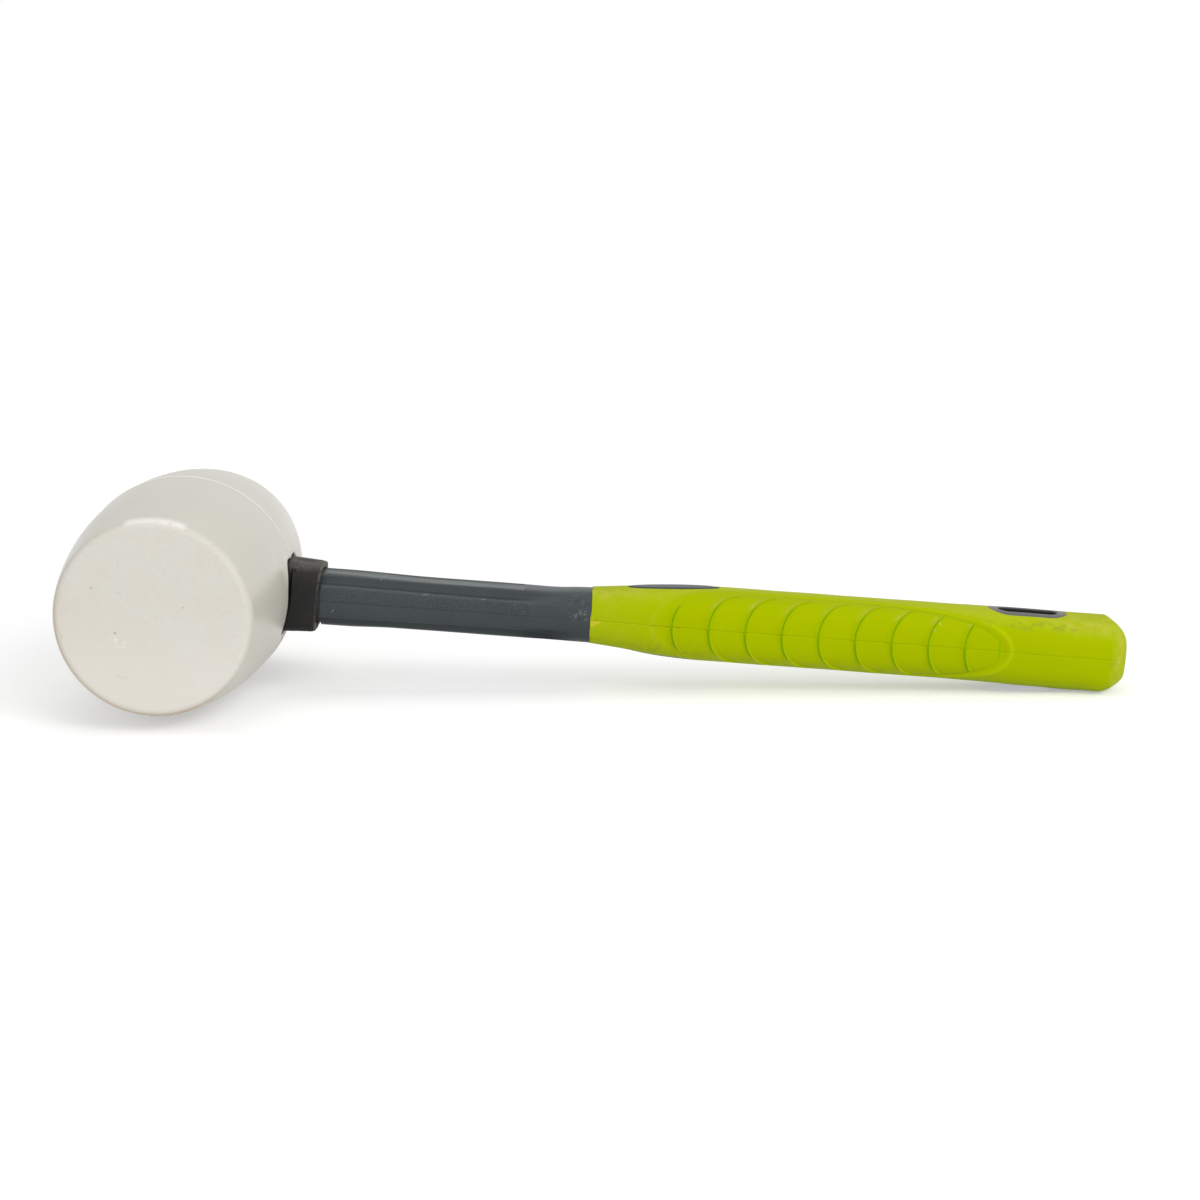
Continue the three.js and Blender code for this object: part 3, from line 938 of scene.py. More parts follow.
def grip_halves(s, inset=0.0):
    """Half depth and half height: a sine swell, a smoothstep flare, the upper bevel, minus an inset."""
    swell = np.sin(np.clip((s - GRIP_FRONT) / SWELL_LENGTH, 0.0, 1.0) * np.pi / 2)
    flare = smooth(FLARE_START, BEVEL_START, s)
    less = bevel(s, *UPPER_BEVEL) + inset + SKIN_ROOM
    half_y = FRONT_HALF_Y + (PALM_HALF - FRONT_HALF_Y) * swell + FLARE_Y * flare - less
    half_z = FRONT_HALF_Z + (PALM_HALF - FRONT_HALF_Z) * swell + FLARE_Z * flare - less
    return half_y, half_z


def settle(s, cheek):
    """How the cheeks leave the plain form: the lower one sags, the upper one sinks towards the butt."""
    sag = (0.3 * smooth(134.0, 150.0, s) + 0.3 * smooth(246.0, 262.0, s)) * smooth(288.5, 276.0, s)
    return np.where(cheek < 0, sag, -0.36 * smooth(256.0, 282.0, s))


def crown(plan, inset=0.0, rise=0.0, cheek=1):
    """The form's point above or below (s, y): z = b (1 - |y/a|^n)^(1/n) plus a rise.

    At the skin, where the inset is 0, the cheek's settling is added too.
    """
    s, y = plan[..., 0], plan[..., 1]
    half_y, half_z = grip_halves(s, inset)
    height = np.clip(1 - np.abs(y / half_y) ** GRIP_SQUARENESS, 0.0, 1.0) ** (1 / GRIP_SQUARENESS)
    settled = settle(s, cheek) if inset == 0.0 else 0.0
    return np.stack([s, y, cheek * (half_z * height + rise + settled)], axis=-1)


def drawn_in(plan, inset):
    """A plan outline at a deeper layer: y shrinks as the form's half depth does."""
    share = grip_halves(plan[..., 0], inset)[0] / grip_halves(plan[..., 0])[0]
    return plan * np.stack([np.ones_like(share), share], axis=-1)


palm_size, butt_size = (np.round(2 * np.array(grip_halves(s)), 2) for s in (180.0, BEVEL_START))
print("palm", palm_size, "mm, butt", butt_size, "mm")

# %% [markdown]
# ## Outlines of the pads and the hang slot
#
# On the upper and lower cheek the grey jacket shows through the grip: an oval pad near the front and the
# rim of the hang slot near the butt. Both outlines are given by their distance from the middle in a
# direction, so they can be read off at the directions of any window's rim.

# %% Outlines
OVAL_MIDDLE = 152.0
OVAL_HALF_LENGTH, OVAL_HALF_WIDTH = 14.2, 3.1
SLOT_MIDDLE = 262.9
SLOT_REACH = 6.0
HOLE_RADIUS = 3.25
RIM_WIDTH = 3.0


def oval_outline(angle, grow=0.0):
    """A slim ellipse, with a ragged edge of about a tenth of a millimetre."""
    ragged = 0.05 * np.sin(23 * angle) + 0.05 * np.sin(37 * angle + 1.0)
    reach = radial(angle, OVAL_HALF_LENGTH + grow, OVAL_HALF_WIDTH + grow, 2.0) + ragged
    return np.stack([OVAL_MIDDLE + reach * np.cos(angle), reach * np.sin(angle)], axis=-1)


def slot_outline(angle, radius):
    """A stadium: straight sides, and half circles about two points SLOT_REACH off the middle."""
    rise, run = np.abs(np.sin(angle)), np.abs(np.cos(angle))
    straight = radius / np.maximum(rise, 1e-6)
    inside = np.maximum(radius**2 - (SLOT_REACH * rise) ** 2, 0.0)
    reach = np.where(straight * run <= SLOT_REACH, straight, SLOT_REACH * run + np.sqrt(inside))
    return np.stack([SLOT_MIDDLE + reach * np.cos(angle), reach * np.sin(angle)], axis=-1)


def directions(plan, middle):
    """Angles from an outline's middle to the points of a window's rim."""
    return np.arctan2(plan[:, 1], plan[:, 0] - middle)


print("slot rim is", 2 * (SLOT_REACH + HOLE_RADIUS + RIM_WIDTH), "by", 2 * (HOLE_RADIUS + RIM_WIDTH), "mm")

# %% [markdown]
# ## Jacket: the shaft's section
#
# The shaft has flat stippled bands on its sides, coves above and below them, and a shallow flute along
# each cheek. A quarter of that section is drawn as a few corners, and corner cutting rounds them: each
# pass replaces a corner by points a quarter of the way along its two sides. The flute, the taper of the
# bands and the height of the cheeks are shifts of the same corners, so they can be mixed in along the
# shaft.

# %% Shaft section
CORNERS = np.array([
    (10.0, 0.0), (10.08, 0.2), (10.08, 4.5), (9.75, 5.0), (7.0, 5.15), (6.15, 5.5),
    (5.75, 6.8), (5.4, 7.4), (4.6, 7.8), (3.95, 7.97), (3.7, 8.0), (0.0, 8.0)])
FLUTE_SHIFT = np.zeros_like(CORNERS)
FLUTE_SHIFT[-2:, 1] = -0.42
TAPER_SHIFT = np.zeros_like(CORNERS)
TAPER_SHIFT[2:6, 1] = -0.6
CHEEK_SHIFT = np.zeros_like(CORNERS)
CHEEK_SHIFT[5:, 1] = [0.2, 0.4, 0.5, 0.8, 1.0, 1.0, 1.0]


def cut_corners(corners, passes):
    """In each pass every side gives points at 1/4 and 3/4 of its length; the two ends stay."""
    for _ in range(passes):
        near = 0.75 * corners[:-1] + 0.25 * corners[1:]
        far = 0.25 * corners[:-1] + 0.75 * corners[1:]
        inner = np.stack([near, far], axis=1).reshape(-1, 2)
        corners = np.concatenate([corners[:1], inner[1:-1], corners[-1:]])
    return corners


def mirror_quarter(quarter):
    """A whole section from one quarter, in the order that full_turn gives the angles."""
    back = quarter[::-1] * [-1, 1]
    half = np.concatenate([quarter[:-1], back[:-1]])
    return np.concatenate([half, -half])


shaft_base, flute_shift, taper_shift, cheek_shift = (
    mirror_quarter(cut_corners(corners, passes=2))
    for corners in (CORNERS, FLUTE_SHIFT, TAPER_SHIFT, CHEEK_SHIFT))
shaft_angle = np.arctan2(shaft_base[:, 1], shaft_base[:, 0]) % (2 * np.pi)
is_upper = shaft_angle < np.pi
print("shaft section:", len(shaft_base), "points")

# %% [markdown]
# ## Jacket: tenon, shaft and core in one walk
#
# One moulding runs from the barbed tenon in the sleeve, along the shaft, to the core that the grip
# covers. The walk starts at the end of the rod's bore, comes out at the tenon's tip, and goes along the
# outside. On the core, windows carry the pads, and a pair of windows, one above and one below, is joined
# into the hole.

# %% Jacket shell
TENON_TIP, TENON_END = -TENON_DEPTH, 36.0
SHAFT_START = SLEEVE_MOUTH + 0.22
ROD_BORE_RADIUS, ROD_BORE_END = 4.3, 246.95
UPPER_HALF_Z, LOWER_HALF_Z = 7.36, 8.2
CORE_ROWS = 34
OVAL_CORE_SPAN, OVAL_CORE_TURN = (135.5, 168.5), np.radians(27)
SLOT_CORE_SPAN, SLOT_CORE_TURN = (248.5, 278.5), np.radians(39)
JACKET_END = 286.5
SHOULDER_GAP = 0.05
FLUTE_END = 105.5
PAD_RISE = 0.28
RIM_RISE = -0.04


def front_edge(angle):
    """The slightly wavy line where the grip's front meets the jacket."""
    return GRIP_FRONT + 0.1 * np.sin(5 * angle + 0.7) + 0.06 * np.sin(11 * angle + 2.1)


def cheek_rise(s):
    """How far the cheeks stand out: the upper one sinks along the shaft, the lower one starts full."""
    upper = -0.64 * smooth(50.0, 78.0, s)
    lower = 0.6 - 0.5 * smooth(50.0, 66.0, s) + 0.1 * smooth(80.0, 112.0, s)
    return np.where(is_upper, upper, lower)


def shaft_rings(stations):
    """Detailed shaft, faded into the plain section that leads up to the grip's front."""
    along = stations[:, None]
    s = along[..., None]
    flute = 1 - smooth(FLUTE_END - 0.4, FLUTE_END + 0.3, s)
    detailed = shaft_base + flute * flute_shift + smooth(45.0, 100.0, s) * taper_shift
    detailed = detailed + cheek_rise(along)[..., None] * cheek_shift
    half_y = SHAFT_HALF_Y - 0.45 * smooth(110.0, GRIP_FRONT, along)
    half_z = np.where(is_upper, UPPER_HALF_Z + 0.8 * smooth(112.0, GRIP_FRONT, along),
                      LOWER_HALF_Z + 0.28 * smooth(108.0, GRIP_FRONT, along))
    plain = section(along, shaft_angle, half_y, half_z, SHAFT_SQUARENESS)
    fade = smooth(98.0, 124.0, s)
    plain[..., 1:] = detailed * (1 - fade) + plain[..., 1:] * fade
    return plain


def jacket_walk():
    """All rings from the end of the rod's bore to the end of the core, one after the other."""
    bore = [section(station, shaft_angle, ROD_BORE_RADIUS, ROD_BORE_RADIUS, 2.0)
            for station in (ROD_BORE_END, TENON_TIP)]
    stations, rises = barbs(0.0)
    stations = np.concatenate([[TENON_TIP], stations, [TENON_END]])[:, None]
    rises = np.concatenate([[0.0], rises, [0.0]])[:, None]
    tenon = section(stations, shaft_angle, SHAFT_HALF_Y + rises, SHAFT_HALF_Z + rises, SHAFT_SQUARENESS)
    collar = shaft_rings(np.array([TENON_END + 0.05, SHAFT_START - 0.02]))
    room = radial(shaft_angle, SHAFT_HALF_Y, SHAFT_HALF_Z, SHAFT_SQUARENESS)
    reach = np.hypot(collar[..., 1], collar[..., 2])
    collar[..., 1:] *= np.minimum(1.0, room / reach)[..., None]
    flute_stop = FLUTE_END + np.array([-0.4, -0.2, -0.05, 0.1, 0.3])
    last_stretch = np.linspace(106.5, GRIP_FRONT - 0.5, 26)
    places = np.concatenate([[SHAFT_START, 44.5], np.linspace(46.0, 104.0, 36), flute_stop, last_stretch])
    shaft = shaft_rings(places)
    shoulder = shaft_rings(np.array([GRIP_FRONT]))
    shoulder[..., 0] = front_edge(shaft_angle) - SHOULDER_GAP
    oval_rows, slot_rows = (np.linspace(*span, CORE_ROWS) for span in (OVAL_CORE_SPAN, SLOT_CORE_SPAN))
    before, after = [GRIP_FRONT + 0.2, 131.0], [283.0, JACKET_END]
    core_s = np.concatenate([before, oval_rows, [185.0, 215.0, 240.0], slot_rows, after])
    half_y, half_z = grip_halves(core_s[:, None], GRIP_WALL)
    core = section(core_s[:, None], shaft_angle, half_y, half_z, GRIP_SQUARENESS)
    return np.concatenate([np.stack(bore), tenon, collar, shaft, shoulder, core])


def to_rings(plan, outline, steps):
    """Plans of rings that lead from a window's rim to an outline, the last one on the outline."""
    share = np.linspace(0.0, 1.0, steps + 1)[1:, None, None]
    return plan * (1 - share) + outline * share


def add_pad(shell, rim, cheek):
    """An oval pad: up from the core to the grip's surface, a rounded edge, and rings in to the middle."""
    plan = shell.points()[rim][:, :2]
    angle = directions(plan, OVAL_MIDDLE)
    oval = oval_outline(angle)
    foot = drawn_in(oval, GRIP_WALL)
    rings = list(crown(to_rings(plan, foot, 3), GRIP_WALL, 0.0, cheek))
    rings.append(crown(oval, 0.0, PAD_RISE - 0.3, cheek))
    rings.append(crown(oval_outline(angle, -0.1), 0.0, PAD_RISE - 0.1, cheek))
    rings.append(crown(oval_outline(angle, -0.32), 0.0, PAD_RISE, cheek))
    for share in (0.9, 0.75, 0.55, 0.35, 0.15):
        inner = oval_outline(angle, -0.32)
        inner = inner * share + np.array([OVAL_MIDDLE, 0.0]) * (1 - share)
        rings.append(crown(inner, 0.0, PAD_RISE, cheek))
    middle = crown(np.array([OVAL_MIDDLE, 0.0]), 0.0, PAD_RISE, cheek)
    shell.cap(shell.path(rim, rings), middle)


def slot_rim_rings(angle, cheek):
    """From the rim's outer foot on the core, over its rounded top, to the upper end of the hole."""
    outer = HOLE_RADIUS + RIM_WIDTH
    rings = [crown(drawn_in(slot_outline(angle, outer), GRIP_WALL), GRIP_WALL, 0.0, cheek)]
    for radius, drop in ((outer, 0.3), (outer - 0.1, 0.06), (outer - 0.3, 0.0), (HOLE_RADIUS + 0.7, 0.0),
                         (HOLE_RADIUS + 0.35, 0.06), (HOLE_RADIUS + 0.1, 0.25), (HOLE_RADIUS, 0.6)):
        rings.append(crown(slot_outline(angle, radius), 0.0, RIM_RISE - drop, cheek))
    return rings


def add_slot(shell, upper, lower):
    """The hang slot's rim above and below, joined by the hole through the core."""
    points = shell.points()
    upper_plan = points[upper][:, :2]
    lower, lower_plan = match(lower, points[lower][:, :2], upper_plan[0])
    angle = directions(upper_plan, SLOT_MIDDLE)
    top = slot_rim_rings(angle, 1)
    bottom = slot_rim_rings(angle, -1)
    foot = drawn_in(slot_outline(angle, HOLE_RADIUS + RIM_WIDTH), GRIP_WALL)
    lead_in = list(crown(to_rings(upper_plan, foot, 3)[:-1], GRIP_WALL, 0.0, 1))
    lead_out = list(crown(to_rings(lower_plan, foot, 3)[:-1], GRIP_WALL, 0.0, -1))
    hole = slot_outline(angle, HOLE_RADIUS)
    heights = np.linspace(0.8, -0.8, 7)[:, None] * top[-1][:, 2]
    walls = [np.column_stack([hole, height]) for height in heights]
    shell.path(upper, lead_in + top + walls + bottom[::-1] + lead_out[::-1], lower)


def rows_between(s, low, high):
    """First and last row of a grid whose station lies between two limits."""
    inside = np.flatnonzero((s > low) & (s < high))
    return inside[0], inside[-1]


def columns_near(angle, middle, width):
    """First and last column of a grid within a width of an angle."""
    inside = np.flatnonzero(np.abs(angle - middle) < width)
    return inside[0], inside[-1]


def make_jacket_shell():
    """The walk's grid with two pairs of windows: pads on one pair, the hang slot through the other."""
    shell = Shell()
    rings = jacket_walk()
    grid = shell.add(rings)
    s = rings[:, 0, 0]
    sizes = (OVAL_CORE_SPAN, OVAL_CORE_TURN), (SLOT_CORE_SPAN, SLOT_CORE_TURN)
    openings = [(rows_between(s, low - 0.1, high + 0.1), columns_near(shaft_angle, middle, turn))
                for (low, high), turn in sizes
                for middle in (np.pi / 2, 3 * np.pi / 2)]
    shell.net(grid, solid_cells(grid, openings))
    shell.cap(grid[0][::-1], (ROD_BORE_END, 0.0, 0.0))
    shell.cap(grid[-1], (JACKET_END, 0.0, 0.0))
    rims = [window(grid, *opening) for opening in openings]
    add_pad(shell, rims[0], 1)
    add_pad(shell, rims[1], -1)
    add_slot(shell, rims[2], rims[3])
    return shell


jacket_shell = make_jacket_shell()
print("jacket shell:", jacket_shell.total, "points")

# %% [markdown]
# ## Jacket: grey plastic
#
# The moulded plastic has a satin skin. The side bands are finely stippled, most of all above the parting
# line, and carry a painted highlight along their upper edge. The flutes are rubbed, a patch next to the
# grip is scuffed, and the lower coves run out dull, with painted shade there. The slot's rim is rubbed
# paler, and its hole is painted dark as painted shade. A few scratches are strokes between two points.
# The stipple is bump from a fine noise, held mostly to the bands by an attribute.

# %% Grey plastic
jacket_s, jacket_y, jacket_z = jacket_shell.points().T
on_shaft = 1 - smooth(GRIP_FRONT - 1.0, GRIP_FRONT, jacket_s)
band_half = 4.7 - 0.6 * smooth(45.0, 100.0, jacket_s)
on_band = smooth(band_half + 0.3, band_half - 0.3, np.abs(jacket_z)) * smooth(119.0, 101.0, jacket_s)
stippled = on_band * (0.35 + 0.65 * smooth(-0.3, 0.3, jacket_z)) + 0.2 * on_shaft
on_seam = bell(jacket_z, 0.0, 0.16) * on_shaft * (0.4 + 0.6 * on_band)
# Painted highlight along the bands' upper edge, where light catches the rounded corner.
band_edge_highlight = bell(jacket_z, band_half + 0.2, 0.4) * smooth(9.0, 9.8, np.abs(jacket_y)) * on_shaft
on_flute = smooth(6.4, 6.9, np.abs(jacket_z)) * smooth(5.4, 4.8, np.abs(jacket_y))
on_flute = on_flute * on_shaft * smooth(FLUTE_END + 0.5, FLUTE_END - 0.5, jacket_s)
on_flute = on_flute * (0.7 + 0.3 * smooth(46.0, 66.0, jacket_s))
smeared = smooth(114.0, GRIP_FRONT, jacket_s) * on_shaft * smooth(-2.0, 1.0, jacket_z)
scuffed = bell(jacket_s, 124.2, 2.8) * bell(jacket_z, 1.4, 1.5) * on_shaft
# Painted shade where the lower coves run out; the same place is made rougher.
cove_runout_shade = bell(jacket_s, 113.0, 11.0) * smooth(-2.6, -4.6, jacket_z) * on_shaft
from_slot = np.abs(jacket_s - SLOT_MIDDLE)
off_line = np.hypot(np.maximum(from_slot - SLOT_REACH, 0.0), jacket_y)
# Painted shade: the hole's walls are painted almost black.
hole_shade = (off_line < HOLE_RADIUS + 0.05) * (np.abs(jacket_z) < 11.2) * (from_slot < 12.0)
on_rim_top = smooth(9.6, 10.4, np.abs(jacket_z)) * (from_slot < 14.0) * (1 - hole_shade)


def grey_plastic():
    """Satin grey, stippled bands, rubbed, scuffed and dull places, a painted highlight and painted shade.
    """
    finish = Finish("grey_plastic", 0.42, 0.25)
    stipple, seam, edge, flute, smear, scuff, runout, rim, hole = finish.painted(
        "stipple", "seam", "edge", "flute", "smear", "scuff", "runout", "rim", "hole")
    cloud = finish.noise(9.0, 3.0)
    grain = finish.noise(0.42, 2.0)
    along = finish.stretched((0.0, float(LEAN), 0.0), (0.1, 1.0, 1.0))
    rubbed = finish.between(finish.ease(finish.noise(1.6, 2.0, along), 0.35, 0.65), 0.45, 1.0)
    rubbed = finish.math("MULTIPLY", flute, rubbed)
    dusty = finish.patchy(smear, 1.8, 4.0, 0.5, 0.75)
    scratches = finish.strokes(((62.2, 3.0, 7.6), (61.2, -5.2, 7.2), 0.45),
                               ((105.3, 0.5, 7.0), (105.2, -4.4, 6.8), 0.4),
                               ((75.0, -10.0, 4.3), (77.4, -9.6, 5.0), 0.28),
                               ((92.9, -10.0, 4.2), (95.9, -9.6, 4.9), 0.22),
                               ((46.9, -10.0, -3.2), (47.6, -10.0, -2.2), 0.28))
    scuffs = finish.patchy(scuff, 0.8, 4.0, 0.44, 0.62)
    light_grain = finish.math("MULTIPLY", stipple, finish.ease(grain, 0.52, 0.75))
    finish.colour(finish.cover(
        finish.mix(cloud, srgb(51, 58, 60), srgb(59, 66, 68)),
        # painted shade at the coves' run-out
        (runout, 0.6, (36, 41, 43)),
        (light_grain, 0.65, (94, 102, 100)),
        # painted highlight along the bands' upper edge
        (edge, 0.4, (84, 91, 91)),
        (rubbed, 0.55, (110, 115, 113)),
        (seam, 0.6, (40, 44, 45)),
        (dusty, 0.3, (110, 117, 114)),
        (scuffs, 0.6, (126, 136, 134)),
        (scratches, 0.5, (150, 156, 154)),
        (rim, 0.6, (114, 114, 106)),
        # painted shade in the hole
        (hole, 0.9, (28, 24, 21))))
    dull = finish.between(runout, 0.0, 0.9)
    finish.rough(finish.math("MAXIMUM", finish.between(light_grain, 0.4, 0.62), dull))
    finish.bump((finish.math("MULTIPLY", grain, stipple), 0.08))
    return finish.material


make_piece("grey_jacket", jacket_shell, "handle_jacket", grey_plastic(),
           {"stipple": stippled, "seam": on_seam, "edge": band_edge_highlight, "flute": on_flute, "smear": smeared,
            "scuff": scuffed, "runout": cove_runout_shade, "rim": on_rim_top, "hole": hole_shade})

# %% [markdown]
# ## Rod
#
# The fibreglass rod sits inside the jacket. Its CAD solid already has the right shape, so it stays, and
# only its finish is made: pale resin with glass threads that run along the rod.

# %% Fibreglass
def fibreglass():
    """Noise drawn out along the rod, as colour and as bump."""
    finish = Finish("fibreglass", 0.35, 0.5)
    along = finish.stretched((0.0, float(LEAN), 0.0), (0.03, 1.0, 1.0))
    threads = finish.noise(0.5, 2.0, along)
    finish.colour(finish.mix(threads, srgb(205, 194, 152), srgb(232, 224, 190)))
    finish.bump((threads, 0.05))
    return finish.material


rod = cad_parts["core_rod"]
rod.data.materials.clear()
rod.data.materials.append(fibreglass())
print("rod finish:", rod.data.materials[0].name)

# %% [markdown]
# ## Grip: scalloped panels
#
# On each side a long panel is let into the rubber, with nine raised arcs across it for the fingers. The
# relief is a height field over the unrolled skin: s along the handle, and the girth from the parting line
# round to the cheek. It could be displaced with a texture, but the arcs have one crisp side, and a grid
# that cuts across them would leave teeth. So the grid's own lines are bent to follow the arcs.

# %% Panel relief
PANEL_GIRTH = 15.0
LEFT_MIDDLE, LEFT_REACH = 175.0, 28.5
RIGHT_MIDDLE, RIGHT_REACH = 200.0, 55.6
FIELD_END = 253.3
FIRST_ARC, ARC_PITCH, ARC_COUNT = 151.5, 11.34, 9
ARC_REACH, ARC_GIRTH, ARC_STOP = 12.5, 13.0, 12.6
ARC_LAG = 0.7
CLIMB_LENGTH, DROP_LENGTH = 2.2, 0.5
LIP_DEPTH, FIELD_STEP, ARC_HEIGHT = 0.52, 0.2, 0.55
BEAD_PLACE, BEAD_HEIGHT = 1.4, 0.2
NO_ARC = 99.0
palm_angles, palm_lengths = quarter_girth(PALM_HALF, PALM_HALF, GRIP_SQUARENESS)


def palm_girth(angle):
    """Distance along the palm's section from the parting line to an angle."""
    folded = np.arctan2(np.abs(np.sin(angle)), np.abs(np.cos(angle)))
    return np.interp(folded, palm_angles, palm_lengths)


def sweep(girth):
    """How far an arc has bent along the handle at a girth: a quarter of an ellipse, held near its end."""
    level = np.minimum(girth, ARC_STOP) / ARC_GIRTH
    return ARC_REACH * (1 - np.sqrt(1 - level**2))


def arc_bend(angle):
    """An arc's bend at an angle; below the parting line the arcs lie a little nearer the butt."""
    return sweep(palm_girth(angle)) + ARC_LAG * smooth(0.02, -0.02, np.sin(angle))


def panel_depth(s, girth):
    """Distance inside the panel's outline: two half ellipses with straight edges between them.

    The ratio is 0 in the middle and 1 on the outline; what is left of 1, over its slope, is a distance,
    negative outside.
    """
    reach = np.where(s < LEFT_MIDDLE, LEFT_REACH, RIGHT_REACH)
    along = (np.maximum(LEFT_MIDDLE - s, 0.0) + np.maximum(s - RIGHT_MIDDLE, 0.0)) / reach
    upright = girth / PANEL_GIRTH
    ratio = np.maximum(np.hypot(along, upright), 1e-6)
    slope = np.maximum(np.hypot(along / reach, upright / PANEL_GIRTH) / ratio, 1e-6)
    return (1 - ratio) / slope


def arc_distances(s, angle):
    """How far it is to the next arc towards the butt and back to the last one, in millimetres."""
    phase = (s - arc_bend(angle) - FIRST_ARC) / ARC_PITCH
    ahead, behind = np.ceil(phase), np.floor(phase)
    before = np.where((ahead >= 0) & (ahead < ARC_COUNT), (ahead - phase) * ARC_PITCH, NO_ARC)
    after = np.where((behind >= 0) & (behind < ARC_COUNT), (phase - behind) * ARC_PITCH, NO_ARC)
    return before, after


def inner_field(s, girth):
    """1 on the field inside the panel, which ends straight towards the butt."""
    return smooth(0.7, 1.2, panel_depth(s, girth)) * (1 - smooth(FIELD_END - 0.4, FIELD_END + 0.4, s))


def arc_share(s, girth):
    """1 where arcs stand fully: inside the field, short of the cheek and of the panel's front end."""
    clear = smooth(0.7, 1.2 + 2.5 * smooth(172.0, 158.0, s), panel_depth(s, girth))
    return inner_field(s, girth) * clear * (1 - smooth(12.2, 13.6, girth))


def panel_relief(s, angle):
    """Height of the relief over the plain form.

    A lip, broad at both ends, leads down into the panel, with a fine bead before it at the butt's end.
    Inside it a field stands a little higher towards the butt. Each arc climbs as a power curve and drops
    off as a smoothstep.
    """
    girth = palm_girth(angle)
    inside = panel_depth(s, girth)
    front = smooth(185.0, 158.0, s)
    back = smooth(246.0, 253.0, s)
    low, high = -0.6 - 0.4 * front - 0.5 * back, 0.7 + 1.4 * front + 0.9 * back
    lip = smooth(low, high, inside) * (1 - 0.35 * front)
    bead = back * bell(inside, -BEAD_PLACE, 0.5)
    field = inner_field(s, girth) * (1 - front)
    before, after = arc_distances(s, angle)
    climb = np.clip(1 - before / CLIMB_LENGTH, 0.0, 1.0) ** 1.7
    arc = np.maximum(climb, 1 - smooth(0.0, DROP_LENGTH, after)) * arc_share(s, girth)
    return BEAD_HEIGHT * bead - LIP_DEPTH * lip + FIELD_STEP * field + ARC_HEIGHT * arc


print("arcs at", np.round(FIRST_ARC + ARC_PITCH * np.arange(ARC_COUNT), 1))

# %% [markdown]
# ## Grip: the skin
#
# Every point of the skin is a station and an angle, pushed out along the section's normal by the relief
# and by the fine groove of the parting line. The stations come close together at the arcs, where the
# shape is crisp, and lie wider apart between them.

# %% Grip skin
GROOVE_DEPTH, GROOVE_WIDTH = 0.15, 0.15


def parting_groove(s, angle):
    """A fine groove on both sides, the lower half of the skin a hair prouder than the upper."""
    half_y, half_z = grip_halves(s)
    z = radial(angle, half_y, half_z, GRIP_SQUARENESS) * np.sin(angle)
    return -GROOVE_DEPTH * bell(z, 0.0, GROOVE_WIDTH) + 0.05 * smooth(0.1, -0.1, z)


def grip_skin(s, angle):
    """The section, moved along its outward normal by relief, groove, settling and unevenness."""
    half_y, half_z = grip_halves(s)
    half_z = half_z + (np.sin(angle) < 0) * (bevel(s, *UPPER_BEVEL) - bevel(s, *LOWER_BEVEL))
    squareness = GRIP_SQUARENESS + BUTT_SQUARER * smooth(279.0, BEVEL_START, s) * (np.sin(angle) < 0)
    reach = radial(angle, half_y, half_z, squareness)
    y, z = reach * np.cos(angle), reach * np.sin(angle)
    normal_y = np.sign(y) * np.abs(y / half_y) ** (squareness - 1) / half_y
    normal_z = np.sign(z) * np.abs(z / half_z) ** (squareness - 1) / half_z
    length = np.hypot(normal_y, normal_z)
    uneven = 0.02 * (np.sin(0.21 * s + 3 * angle) + np.sin(0.37 * s - 2 * angle + 1.3) - 2)
    settled = settle(s, np.sin(angle)) * smooth(0.2, 0.95, np.abs(np.sin(angle)))
    out = panel_relief(s, angle) + parting_groove(s, angle) + settled + uneven
    out = out * smooth(GRIP_END, BEVEL_START + 1.0, s) / length
    return np.stack(np.broadcast_arrays(s, y + out * normal_y, z + out * normal_z), axis=-1)


def grip_stations():
    """Stations before the lines are bent: fine at the panel's tip and at each arc, coarser between."""
    front = np.concatenate([[0.15, 0.5], np.arange(1.0, 18.6, 0.55)]) + GRIP_FRONT
    tip = np.arange(145.8, 148.2, 0.4)
    around_arc = np.concatenate([np.linspace(-2.6, -0.4, 8), np.linspace(-0.2, 0.8, 7), [1.2, 2.0]])
    between = np.linspace(3.0, ARC_PITCH - 3.4, 7)
    pattern = np.concatenate([around_arc, between])
    arcs = (FIRST_ARC + ARC_PITCH * np.arange(ARC_COUNT)[:, None] + pattern).ravel()
    arcs = arcs[arcs < 243.6]
    right = np.arange(244.0, 259.4, 0.36)
    butt = np.linspace(259.9, BEVEL_START, 36)
    round_off = BEVEL_START + (GRIP_END - BEVEL_START) * np.sin(np.linspace(0, np.pi / 2, 15)[1:])
    return np.concatenate([front, tip, arcs, right, butt, round_off])


def bend_share(station):
    """How fully a grid line follows the arcs: not at the front, fully over the panel, not at the butt."""
    return smooth(129.0, 146.2, station) * (1 - smooth(243.5, 272.0, station))


stations = grip_stations()
paces = np.concatenate([[0.09, 0.09, 0.1, 0.14, 0.2, 0.3], np.full(30, 0.4), np.full(9, 0.62)])
grip_angle = full_turn(paced_quarter(PALM_HALF, PALM_HALF, GRIP_SQUARENESS, paces))
grid_s = stations[:, None] + bend_share(stations)[:, None] * arc_bend(grip_angle)
print("grip grid:", grid_s.shape, "smallest step", round(float(np.diff(grid_s, axis=0).min()), 3))

# %% [markdown]
# ## Grip: windows and bore
#
# The grip is rubber moulded over the jacket's core, so it is a tube with one closed end, and the pads and
# the slot's rim look out through four windows in its wall. The walk starts at the closed end of the bore,
# comes out at the front, and runs along the outside to the butt. Each outer window is then sewn to the
# one below it.

